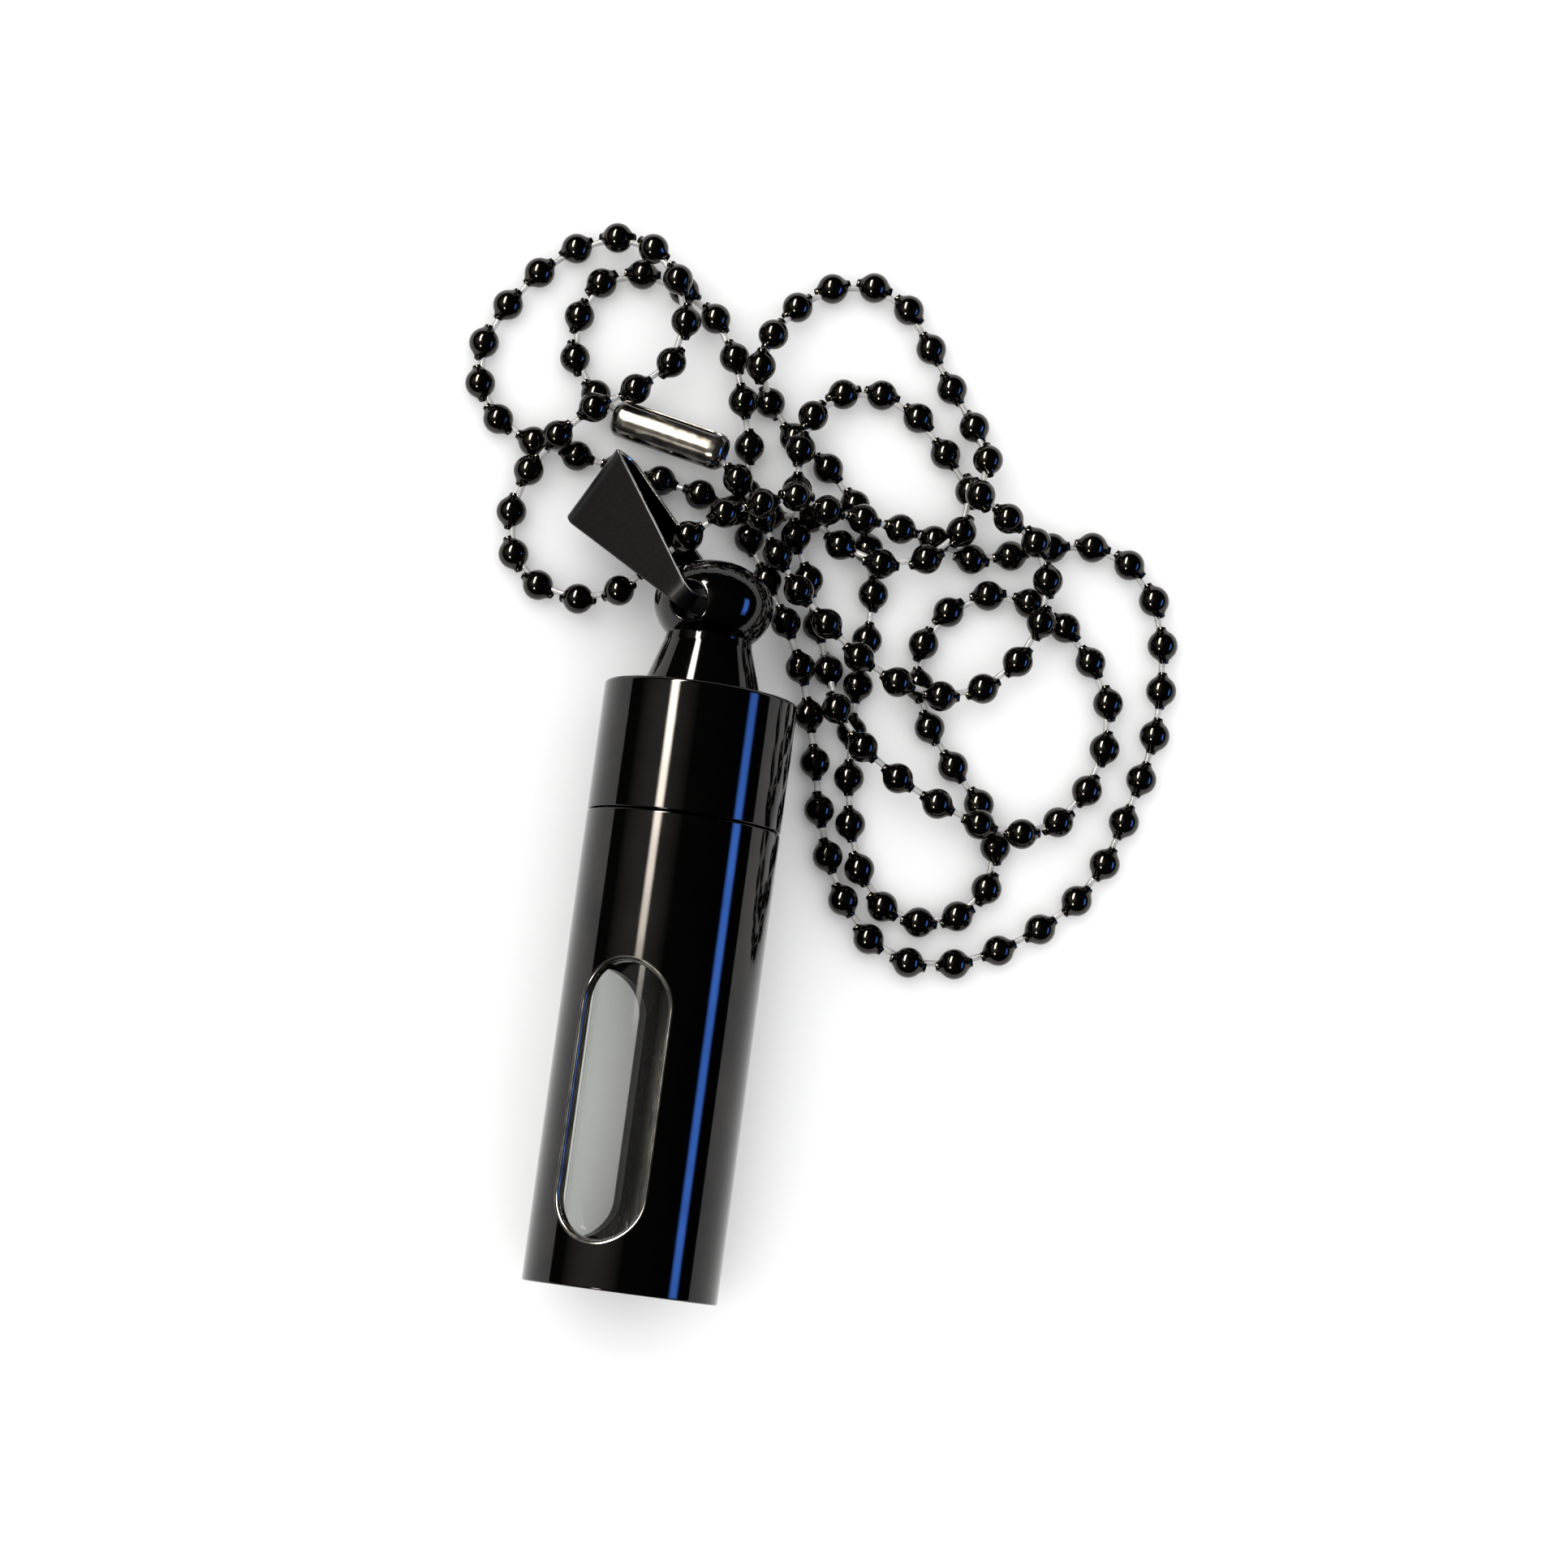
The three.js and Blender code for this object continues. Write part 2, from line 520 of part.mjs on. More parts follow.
// ---- connector: a slotted sleeve that holds the chain's two end beads ---------------------------
function connectorGeometry() {
  const start = BEADS[BEADS.length - 1];
  const end = BEADS[0];
  const axis = end.clone().sub(start);
  const half = axis.length() / 2 + SLEEVE_OVERHANG;
  const profile = [
    [SLEEVE_END_R, -half],
    [SLEEVE_R - 0.35, -half],
    [SLEEVE_R, -half + 0.45],
    [SLEEVE_R, half - 0.45],
    [SLEEVE_R - 0.35, half],
    [SLEEVE_END_R, half],
    [SLEEVE_END_R, half - 0.18],
    [SLEEVE_BORE_R - 0.12, half - 0.22],
    [SLEEVE_BORE_R, half - 0.6],
    [SLEEVE_BORE_R, -half + 0.6],
    [SLEEVE_BORE_R - 0.12, -half + 0.22],
    [SLEEVE_END_R, -half + 0.18],
    [SLEEVE_END_R, -half],
  ];
  const slotLength = 2 * (half - SLEEVE_SLOT_MARGIN);
  const slot = new THREE.BoxGeometry(SLEEVE_SLOT_WIDTH, slotLength, SLEEVE_SLOT_DEPTH);
  slot.translate(0, 0, SLEEVE_SLOT_OFFSET);
  const geometry = toGeometry(toSolid(turned(profile, 16)).subtract(toSolid(slot)));

  const y = axis.normalize();
  const z = SLEEVE_SLOT_FACING.clone();
  z.addScaledVector(y, -z.dot(y)).normalize();
  const x = y.clone().cross(z);
  geometry.applyMatrix4(new THREE.Matrix4().makeBasis(x, y, z));
  const middle = start.clone().add(end).multiplyScalar(0.5);
  geometry.translate(middle.x, middle.y, middle.z);
  return geometry;
}

// ---- assembly -----------------------------------------------------------------------------------
const lowerGasket = {
  faceR: LOWER_GASKET_R,
  y0: BASE_THICKNESS + SEAT_GAP,
  bulgeY: BASE_THICKNESS + 0.3,
  y1: GLASS_Y0 - GASKET_GAP,
};
const upperGasket = {
  faceR: UPPER_GASKET_R,
  y0: GLASS_Y1 + GASKET_GAP,
  bulgeY: (GLASS_Y1 + PLUG_Y0) / 2,
  y1: PLUG_Y0 - GASKET_GAP,
};

addMesh("case", caseGeometry(), blackMetal);
addMesh("glass_tube", glassGeometry(), glass);
addMesh("lower_gasket", gasketGeometry(lowerGasket), rubber);
addMesh("upper_gasket", gasketGeometry(upperGasket), rubber);
addMesh("cap", capGeometry(), blackMetal);
addMesh("finial", finialGeometry(), blackMetal);
addMesh("bail", bailGeometry(), satinMetal);
addChain();
addMesh("connector", connectorGeometry(), silver);

export default group;
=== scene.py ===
"""Screw-cap capsule pendant on a ball chain: a windowed case round a glass tube, a cap with a
ball finial, a folded strap bail through the ball, and a chain lying in loops on the table.

Sizes are millimetres in the part's own frame, turned into metres when a mesh is made.
+Y runs along the capsule from its flat end to the cap, and +Z is up. The capsule lies on the table.
"""

import math

import bmesh
import bpy
import numpy as np
from mathutils import Matrix, Vector


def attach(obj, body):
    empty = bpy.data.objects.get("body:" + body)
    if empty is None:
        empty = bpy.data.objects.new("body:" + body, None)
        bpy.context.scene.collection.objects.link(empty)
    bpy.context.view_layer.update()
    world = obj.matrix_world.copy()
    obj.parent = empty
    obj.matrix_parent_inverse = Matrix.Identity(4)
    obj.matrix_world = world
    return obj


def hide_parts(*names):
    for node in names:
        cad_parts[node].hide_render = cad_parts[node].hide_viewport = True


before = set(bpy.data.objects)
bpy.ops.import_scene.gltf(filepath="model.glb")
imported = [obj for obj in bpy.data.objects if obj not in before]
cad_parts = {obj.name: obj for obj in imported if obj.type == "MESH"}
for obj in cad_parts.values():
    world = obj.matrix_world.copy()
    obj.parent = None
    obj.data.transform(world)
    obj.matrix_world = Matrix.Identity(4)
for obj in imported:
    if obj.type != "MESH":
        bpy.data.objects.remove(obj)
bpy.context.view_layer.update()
MM = 0.001

# ---- main dimensions ------------------------------------------------------------------------
CASE_RADIUS = 7.5
CASE_LENGTH = 36.2
BORE_RADIUS = 6.4
BASE_THICKNESS = 1.5
TABLE_Z = -CASE_RADIUS

GLASS_RADIUS = 5.95
GLASS_WALL = 0.9
GLASS_BASE = 1.0
GLASS_START_Y = 2.5
GLASS_END_Y = 31.4

PLUG_RADIUS = 6.1
PLUG_START_Y = 32.7
CAP_START_Y = 36.3
CAP_END_Y = 46.4
STUD_RADIUS = 1.5
STUD_LENGTH = 3.0
STUD_HOLE_RADIUS = 1.65
STUD_HOLE_DEPTH = 3.2

# The bail's frame: U runs out along the strap, V across its width, W through the folded loop.
BAIL_ORIGIN = np.array([-0.1, 52.85, 0.0])
BAIL_U = np.array([-0.7149, 0.6447, -0.2707])
BAIL_V = np.array([0.5895, 0.7639, 0.2625])
BAIL_W = np.array([-0.3760, -0.0280, 0.9262])


# ---- mesh helpers ---------------------------------------------------------------------------
def unit(vector):
    vector = np.asarray(vector, float)
    return vector / np.linalg.norm(vector)


def radial(angle):
    """Direction out from the Y axis, at an angle from +Z towards -X."""
    return np.array([-math.sin(angle), 0.0, math.cos(angle)])


def around(angle):
    """Direction round the Y axis in which the angle of radial() grows."""
    return np.array([-math.cos(angle), 0.0, -math.sin(angle)])


def make(name, verts, faces, materials, body, cad_piece, normals=None, face_materials=None):
    """Makes a smooth mesh in metres that rides on a CAD body and replaces a CAD piece."""
    mesh = bpy.data.meshes.new(name)
    points = [tuple(point * MM) for point in np.asarray(verts, float)]
    mesh.from_pydata(points, [], [tuple(int(i) for i in face) for face in faces])
    mesh.validate(clean_customdata=False)
    if face_materials is not None:
        mesh.polygons.foreach_set("material_index", np.asarray(face_materials, np.int32))
    edit = bmesh.new()
    edit.from_mesh(mesh)
    bmesh.ops.recalc_face_normals(edit, faces=edit.faces)
    edit.to_mesh(mesh)
    edit.free()
    mesh.polygons.foreach_set("use_smooth", [True] * len(mesh.polygons))
    if normals is not None:
        normals = np.asarray(normals, float)
        lengths = np.linalg.norm(normals, axis=1, keepdims=True)
        normals = normals / np.maximum(lengths, 1e-12)
        mesh.normals_split_custom_set_from_vertices([tuple(normal) for normal in normals])
    mesh.update()
    piece = bpy.data.objects.new(name, mesh)
    bpy.context.scene.collection.objects.link(piece)
    for item in materials:
        mesh.materials.append(item)
    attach(piece, body)
    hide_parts(cad_piece)


def bridge(first, second):
    """Faces between two closed rows of vertex numbers; a row of one is a pole."""
    if len(first) == 1:
        count = len(second)
        return [(first[0], second[(i + 1) % count], second[i]) for i in range(count)]
    count = len(first)
    if len(second) == 1:
        return [(first[i], first[(i + 1) % count], second[0]) for i in range(count)]
    return [
        (first[i], first[(i + 1) % count], second[(i + 1) % count], second[i])
        for i in range(count)
    ]


def bridge_all(rows):
    return [face for first, second in zip(rows, rows[1:]) for face in bridge(first, second)]


def loft(row_count, width, closed=False):
    """Faces over equal closed rows numbered in order; closed joins the last to the first."""
    rows = [range(i * width, (i + 1) * width) for i in range(row_count)]
    if closed:
        rows.append(rows[0])
    return bridge_all(rows)


def filleted(corners, arc_steps=5):
    """Points and outward normals of a 2D path of corners (radius, y, fillet).

    The solid is on the left of the path. The fillets of the two ends aren't used.
    """

    def right_of(direction):
        return np.array([direction[1], -direction[0]])

    places = [np.array(corner[:2], float) for corner in corners]
    points = [places[0]]
    normals = [right_of(unit(places[1] - places[0]))]
    for i in range(1, len(places) - 1):
        before = unit(places[i] - places[i - 1])
        after = unit(places[i + 1] - places[i])
        fillet = corners[i][2]
        turn = math.atan2(before[0] * after[1] - before[1] * after[0], before @ after)
        side = -right_of(before) if turn > 0 else right_of(before)
        centre = places[i] - before * fillet * math.tan(abs(turn) / 2) + side * fillet
        count = max(2, int(round(arc_steps * abs(turn) / (math.pi / 2))) + 1)
        for k in range(count + 1):
            cosine = math.cos(turn * k / count)
            sine = math.sin(turn * k / count)
            spoke = np.array([
                -cosine * side[0] + sine * side[1],
                -sine * side[0] - cosine * side[1],
            ])
            points.append(centre + spoke * fillet)
            normals.append(spoke if turn > 0 else -spoke)
    points.append(places[-1])
    normals.append(right_of(unit(places[-1] - places[-2])))
    return np.array(points), np.array(normals)


def turn_profile(profile, segments, verts, normals):
    """Adds a profile (points, normals) turned about the Y axis; returns its rows of numbers."""
    rows = []
    angles = 2 * np.pi * np.arange(segments) / segments
    for (radius, y), (normal_out, normal_y) in zip(*profile):
        if radius < 1e-6:
            rows.append([len(verts)])
            verts.append((0, y, 0))
            normals.append((0, 1 if normal_y > 0 else -1, 0))
            continue
        rows.append(list(range(len(verts), len(verts) + segments)))
        for angle in angles:
            out = radial(angle)
            verts.append(out * radius + [0, y, 0])
            normals.append(out * normal_out + [0, normal_y, 0])
    return rows


def lathe(name, corners, segments, material, body, cad_piece, arc_steps=5):
    verts, normals = [], []
    rows = turn_profile(filleted(corners, arc_steps), segments, verts, normals)
    make(name, verts, bridge_all(rows), [material], body, cad_piece, normals)


class Surface:
    """Vertices, normals, faces and material numbers gathered while a piece is built."""

    def __init__(self):
        self.verts, self.normals = [], []
        self.faces, self.face_materials = [], []

    def add(self, point, normal):
        self.verts.append(point)
        self.normals.append(normal)
        return len(self.verts) - 1

    def face(self, numbers, material):
        self.faces.append(tuple(numbers))
        self.face_materials.append(material)

    def join(self, first, second, material):
        for face in bridge(first, second):
            self.face(face, material)


# ---- materials ------------------------------------------------------------------------------
def new_material(name):
    result = bpy.data.materials.new(name)
    result.use_nodes = True
    return result, result.node_tree, result.node_tree.nodes.get("Principled BSDF")


def mapped_noise(tree, scale, stretch=(1, 1, 1), detail=3.0):
    """Noise in object space; scale is per metre."""
    place = tree.nodes.new("ShaderNodeTexCoord")
    mapping = tree.nodes.new("ShaderNodeMapping")
    mapping.inputs["Scale"].default_value = stretch
    noise = tree.nodes.new("ShaderNodeTexNoise")
    noise.inputs["Scale"].default_value = scale
    noise.inputs["Detail"].default_value = detail
    tree.links.new(place.outputs["Object"], mapping.inputs["Vector"])
    tree.links.new(mapping.outputs["Vector"], noise.inputs["Vector"])
    return noise.outputs["Fac"]


def ramp(tree, factor, stops):
    """A colour ramp from stops of (position, rgb)."""
    result = tree.nodes.new("ShaderNodeValToRGB")
    elements = result.color_ramp.elements
    while len(elements) < len(stops):
        elements.new(0.5)
    for element, (position, colour) in zip(elements, stops):
        element.position = position
        element.color = (*colour, 1)
    tree.links.new(factor, result.inputs["Fac"])
    return result.outputs["Color"]


def span(tree, value, low, high, from_low=0.0, from_high=1.0):
    result = tree.nodes.new("ShaderNodeMapRange")
    result.inputs["From Min"].default_value = from_low
    result.inputs["From Max"].default_value = from_high
    result.inputs["To Min"].default_value = low
    result.inputs["To Max"].default_value = high
    tree.links.new(value, result.inputs["Value"])
    return result.outputs["Result"]


def bump(tree, shader, height, strength, depth, before=None):
    """Bumps a shader's normal by a depth in millimetres, on top of an earlier bump if given."""
    result = tree.nodes.new("ShaderNodeBump")
    result.inputs["Strength"].default_value = strength
    result.inputs["Distance"].default_value = depth * MM
    tree.links.new(height, result.inputs["Height"])
    if before is not None:
        tree.links.new(before, result.inputs["Normal"])
    tree.links.new(result.outputs["Normal"], shader.inputs["Normal"])
    return result.outputs["Normal"]


def product(tree, *factors):
    """Multiplies two factors, each a number or a socket."""
    result = tree.nodes.new("ShaderNodeMath")
    result.operation = "MULTIPLY"
    for socket, factor in zip(result.inputs, factors):
        if isinstance(factor, (int, float)):
            socket.default_value = factor
        else:
            tree.links.new(factor, socket)
    return result.outputs["Value"]


def level(tree, factor, stops):
    """A brightness curve from stops of (position, value), scaled by the largest value."""
    top = max(value for _, value in stops)
    return product(tree, ramp(tree, factor, [(p, (value / top,) * 3) for p, value in stops]), top)


def metal(name, dark, light, roughness, colour_scale, grain_scale, grain_strength, grain_depth,
          wave_depth=0.0, wave_scale=240.0, stretch=(1, 1, 1), metallic=1.0):
    """Metal with a slight colour change, uneven polish, fine grain and a faint waviness.

    Scales are per metre; depths are millimetres.
    """
    result, tree, shader = new_material(name)
    shader.inputs["Metallic"].default_value = metallic
    tint = ramp(tree, mapped_noise(tree, colour_scale, stretch), [(0.3, dark), (0.7, light)])
    tree.links.new(tint, shader.inputs["Base Color"])
    polish_noise = mapped_noise(tree, colour_scale * 2.3, stretch, detail=4)
    polish = span(tree, polish_noise, *roughness, from_low=0.3, from_high=0.7)
    tree.links.new(polish, shader.inputs["Roughness"])
    grain = mapped_noise(tree, grain_scale, stretch, detail=2)
    grained = bump(tree, shader, grain, grain_strength, grain_depth)
    if wave_depth:
        wave = mapped_noise(tree, wave_scale, detail=1.0)
        bump(tree, shader, wave, strength=1.0, depth=wave_depth, before=grained)
    return result


def rubber():
    result, tree, shader = new_material("black_silicone_rubber")
    shades = [(0.3, (0.012, 0.012, 0.012)), (0.7, (0.03, 0.03, 0.03))]
    tree.links.new(ramp(tree, mapped_noise(tree, 900), shades), shader.inputs["Base Color"])
    dullness = span(tree, mapped_noise(tree, 2500), low=0.55, high=0.8)
    tree.links.new(dullness, shader.inputs["Roughness"])
    bump(tree, shader, mapped_noise(tree, 5000), strength=0.3, depth=0.02)
    return result


def glass():
    """Thin clear glass: lets light straight through, mirrors at low angles, green edge-on."""
    result, tree, unused_shader = new_material("clear_tube_glass")
    tree.nodes.remove(unused_shader)
    clear = tree.nodes.new("ShaderNodeBsdfTransparent")
    facing = tree.nodes.new("ShaderNodeLayerWeight")
    facing.inputs["Blend"].default_value = 0.35
    tints = [(0.0, (0.99, 0.992, 0.988)), (0.75, (0.95, 0.965, 0.94)), (1.0, (0.5, 0.62, 0.46))]
    tree.links.new(ramp(tree, facing.outputs["Facing"], tints), clear.inputs["Color"])
    shine = tree.nodes.new("ShaderNodeBsdfGlossy")
    haze = span(tree, mapped_noise(tree, 300), low=0.01, high=0.035)
    tree.links.new(haze, shine.inputs["Roughness"])
    fresnel = tree.nodes.new("ShaderNodeFresnel")
    fresnel.inputs["IOR"].default_value = 1.5
    # only front faces shine: 1 - backfacing
    geometry = tree.nodes.new("ShaderNodeNewGeometry")
    front = tree.nodes.new("ShaderNodeMath")
    front.operation = "SUBTRACT"
    front.inputs[0].default_value = 1.0
    tree.links.new(geometry.outputs["Backfacing"], front.inputs[1])
    amount = product(tree, fresnel.outputs["Fac"], front.outputs["Value"])
    ripple = mapped_noise(tree, 500, stretch=(1, 0.2, 1))
    bump(tree, shine, ripple, strength=0.4, depth=0.004)
    mix = tree.nodes.new("ShaderNodeMixShader")
    tree.links.new(amount, mix.inputs["Fac"])
    tree.links.new(clear.outputs["BSDF"], mix.inputs[1])
    tree.links.new(shine.outputs["BSDF"], mix.inputs[2])
    tree.links.new(mix.outputs["Shader"], tree.nodes.get("Material Output").inputs["Surface"])
    return result


BLACK = metal(
    "black_mirror_coat", dark=(0.030, 0.029, 0.029), light=(0.040, 0.038, 0.037),
    roughness=(0.035, 0.075), colour_scale=260, grain_scale=9000, grain_strength=0.05,
    grain_depth=0.004, wave_depth=0.0035)
BEAD_BLACK = metal(
    "black_bead_coat", dark=(0.032, 0.030, 0.026), light=(0.046, 0.043, 0.037),
    roughness=(0.05, 0.12), colour_scale=700, grain_scale=9000, grain_strength=0.12,
    grain_depth=0.006, wave_depth=0.012, wave_scale=900)
BORE = metal(
    "dark_turned_bore", dark=(0.11, 0.108, 0.102), light=(0.17, 0.166, 0.156),
    roughness=(0.24, 0.36), colour_scale=300, grain_scale=4000, grain_strength=0.35,
    grain_depth=0.01, stretch=(6, 0.5, 6))
WORN_EDGE = metal(
    "window_edge_worn_bright", dark=(0.10, 0.10, 0.092), light=(0.26, 0.258, 0.235),
    roughness=(0.10, 0.2), colour_scale=420, grain_scale=7000, grain_strength=0.2,
    grain_depth=0.006)
BAIL_FACE = metal(
    "satin_charcoal_coat", dark=(0.018, 0.017, 0.018), light=(0.023, 0.022, 0.023),
    roughness=(0.30, 0.35), colour_scale=3200, grain_scale=7200, grain_strength=0.6,
    grain_depth=0.008)
BAIL_EDGE = metal(
    "polished_sheet_edge", dark=(0.80, 0.80, 0.79), light=(0.92, 0.92, 0.90),
    roughness=(0.16, 0.26), colour_scale=500, grain_scale=7000, grain_strength=0.15,
    grain_depth=0.006)
SILVER = metal(
    "polished_nickel_sheet", dark=(0.17, 0.158, 0.143), light=(0.26, 0.244, 0.22),
    roughness=(0.12, 0.22), colour_scale=700, grain_scale=5000, grain_strength=0.2,
    grain_depth=0.006, wave_depth=0.006)
# The sleeve's inside is the same nickel sheet with a rougher finish, which is real. Its darker
# colour is painted shade for the hollow of the sleeve.
SILVER_PAINTED_SHADE = metal(
    "sleeve_inside_painted_shade", dark=(0.10, 0.095, 0.09), light=(0.18, 0.17, 0.165),
    roughness=(0.28, 0.4), colour_scale=700, grain_scale=5000, grain_strength=0.3,
    grain_depth=0.01)
WIRE = metal(
    "bright_link_wire", dark=(0.26, 0.258, 0.25), light=(0.48, 0.475, 0.46),
    roughness=(0.30, 0.42), colour_scale=900, grain_scale=9000, grain_strength=0.2,
    grain_depth=0.006, metallic=0.0)
RUBBER = rubber()
GLASS = glass()

# ---- case: closed-end tube with two round-ended windows whose edges are rounded -----------------
WINDOW_START_Y = 3.7
WINDOW_END_Y = 24.65
WINDOW_RADIUS = 6.7 / 2
WINDOW_LOW_Y = WINDOW_START_Y + WINDOW_RADIUS  # centres of the half-round ends
WINDOW_HIGH_Y = WINDOW_END_Y - WINDOW_RADIUS
WINDOW_ANGLES = (math.radians(20.0), math.radians(140.0))
WINDOW_SWEEP = np.linspace(-np.pi / 2, np.pi / 2, 27)  # steps across a window's half-round end
COLUMN_STEPS = (26, 64)  # steps round the solid wall after each window
WINDOW_EDGE = 0.38  # fillets
WINDOW_INNER_EDGE = 0.12
BASE_EDGE = 0.16
MOUTH_EDGE = 0.14
BORE_MOUTH_EDGE = 0.2
BORE_BASE_EDGE = 0.3
COATED, BARE, WORN = 0, 1, 2  # the case's material numbers


def case_columns(radius, widening):
    """Columns (angle, window, sweep) all the way round; the last two are None on solid wall."""
    window_radius = WINDOW_RADIUS + widening
    half = math.asin(window_radius / radius)
    columns = []
    for window, middle in enumerate(WINDOW_ANGLES):
        for sweep in WINDOW_SWEEP:
            offset = math.asin(window_radius * math.sin(sweep) / radius)
            columns.append((middle + offset, window, sweep))
        start = middle + half
        end = (WINDOW_ANGLES[1] if window == 0 else WINDOW_ANGLES[0] + 2 * np.pi) - half
        steps = COLUMN_STEPS[window]
        for k in range(1, steps):
            columns.append((start + (end - start) * k / steps, None, None))
    return columns


def case_skin(surface, radius, widening, facing, bottom_y, top_y, material):
    """One cylinder wall with window openings: its columns, end rows and window loops."""
    columns = case_columns(radius, widening)
    bottom, top, low, high = [], [], {}, {}
    for i, (angle, window, sweep) in enumerate(columns):
        out = radial(angle)
        bottom.append(surface.add(out * radius + [0, bottom_y, 0], out * facing))
        top.append(surface.add(out * radius + [0, top_y, 0], out * facing))
        if window is not None:
            reach = (WINDOW_RADIUS + widening) * math.cos(sweep)
            low[i] = surface.add(out * radius + [0, WINDOW_LOW_Y - reach, 0], out * facing)
            high[i] = surface.add(out * radius + [0, WINDOW_HIGH_Y + reach, 0], out * facing)
    count = len(columns)
    for i in range(count):
        j = (i + 1) % count
        if i in low and columns[i][1] == columns[j][1]:
            surface.face((bottom[i], bottom[j], low[j], low[i]), material)
            surface.face((high[i], high[j], top[j], top[i]), material)
            continue
        face = [bottom[i], bottom[j]]
        if j in low:
            face += [low[j], high[j]]
        face += [top[j], top[i]]
        if i in low:
            face += [high[i], low[i]]
        surface.face(face, material)
    loops = []
    for window in range(2):
        sides = [i for i in range(count) if columns[i][1] == window]
        loops.append([low[i] for i in sides] + [high[i] for i in reversed(sides)])
    return columns, bottom, top, loops


def window_ring(surface, window, radius, fillet, tilt, facing):
    """One loop of a window's rounded edge; tilt goes from 0 on the skin to 90 degrees inside."""
    out = radial(WINDOW_ANGLES[window])
    across = around(WINDOW_ANGLES[window])
    opening = WINDOW_RADIUS + fillet - fillet * math.sin(tilt)
    sink = facing * (fillet - fillet * math.cos(tilt))
    ring = []
    for end, centre_y, sweeps in (
        (-1, WINDOW_LOW_Y, WINDOW_SWEEP),
        (1, WINDOW_HIGH_Y, WINDOW_SWEEP[::-1]),
    ):
        for sweep in sweeps:
            x = opening * math.sin(sweep)
            y = centre_y + end * opening * math.cos(sweep)
            z = math.sqrt(radius * radius - x * x) - sink
            inward = -(across * math.sin(sweep) + [0, end * math.cos(sweep), 0])
            skin_normal = out * math.sqrt(1 - (x / radius) ** 2) + across * (x / radius)
            normal = inward * math.sin(tilt) + facing * skin_normal * math.cos(tilt)
            ring.append(surface.add(across * x + out * z + [0, y, 0], normal))
    return ring


def round_windows(surface, outer_loops, inner_loops):
    """Joins the outer and inner skins through the rounded window edges."""
    for window in range(2):
        before = outer_loops[window]
        for k in range(1, 7):
            tilt = math.pi / 2 * k / 6
            ring = window_ring(surface, window, CASE_RADIUS, WINDOW_EDGE, tilt, facing=1)
            surface.join(before, ring, WORN)
            before = ring
        for k in range(3):
            tilt = math.pi / 2 * (1 - k / 3)
            ring = window_ring(surface, window, BORE_RADIUS, WINDOW_INNER_EDGE, tilt, facing=-1)
            surface.join(before, ring, COATED)
            before = ring
        surface.join(before, inner_loops[window], COATED)


def rounded_corner(centre_radius, centre_y, fillet, out_sign, y_sign, facing=1):
    """A quarter round as (radius, y, normal out, normal y), without its first point."""
    path = []
    for angle in np.linspace(0, np.pi / 2, 5)[1:]:
        out, up = out_sign * math.cos(angle), y_sign * math.sin(angle)
        path.append(
            (centre_radius + fillet * out, centre_y + fillet * up, facing * out, facing * up))
    return path


def carry(surface, columns, row, path, material):
    """Carries a row of columns along a path of (radius, y, normal out, normal y)."""
    for radius, y, normal_out, normal_y in path:
        if radius < 1e-6:
            following = [surface.add(np.array([0, y, 0.0]), np.array([0, normal_y, 0.0]))]
        else:
            following = [
                surface.add(radial(angle) * radius + [0, y, 0],
                            radial(angle) * normal_out + [0, normal_y, 0])
                for angle, _, _ in columns
            ]
        surface.join(row, following, material)
        row = following
    return row


def build_case():
    surface = Surface()
    outer_columns, outer_bottom, outer_top, outer_loops = case_skin(
        surface, CASE_RADIUS, WINDOW_EDGE, facing=1,
        bottom_y=BASE_EDGE, top_y=CASE_LENGTH - MOUTH_EDGE, material=COATED)
    inner_columns, inner_bottom, inner_top, inner_loops = case_skin(
        surface, BORE_RADIUS, WINDOW_INNER_EDGE, facing=-1,
        bottom_y=BASE_THICKNESS + BORE_BASE_EDGE, top_y=CASE_LENGTH - BORE_MOUTH_EDGE,
        material=BARE)
    round_windows(surface, outer_loops, inner_loops)

    base = rounded_corner(CASE_RADIUS - BASE_EDGE, BASE_EDGE, BASE_EDGE, 1, -1)
    base += [(CASE_RADIUS * 0.5, 0, 0, -1), (0, 0, 0, -1)]
    carry(surface, outer_columns, outer_bottom, base, COATED)
    mouth = rounded_corner(CASE_RADIUS - MOUTH_EDGE, CASE_LENGTH - MOUTH_EDGE, MOUTH_EDGE, 1, 1)
    outer_rim = carry(surface, outer_columns, outer_top, mouth, COATED)
    bore_mouth = rounded_corner(
        BORE_RADIUS + BORE_MOUTH_EDGE, CASE_LENGTH - BORE_MOUTH_EDGE, BORE_MOUTH_EDGE, -1, 1)
    inner_rim = carry(surface, inner_columns, inner_top, bore_mouth, COATED)
    surface.join(outer_rim, inner_rim, COATED)
    bore_base = rounded_corner(
        BORE_RADIUS - BORE_BASE_EDGE, BASE_THICKNESS + BORE_BASE_EDGE, BORE_BASE_EDGE, 1, -1,
        facing=-1)
    bore_base += [(BORE_RADIUS * 0.5, BASE_THICKNESS, 0, 1), (0, BASE_THICKNESS, 0, 1)]
    carry(surface, inner_columns, inner_bottom, bore_base, BARE)
    make("case_shell", surface.verts, surface.faces, [BLACK, BORE, WORN_EDGE], "case", "case",
         surface.normals, surface.face_materials)


build_case()

# ---- cap: turned body, a right-handed thread on its plug and a blind hole for the stud -----------
THREAD_ROOT = PLUG_RADIUS - 0.3
THREAD_HEIGHT = 0.36
THREAD_PITCH = 1.0
THREAD_START_Y = PLUG_START_Y + 0.35
THREAD_END_Y = CAP_START_Y - 0.3


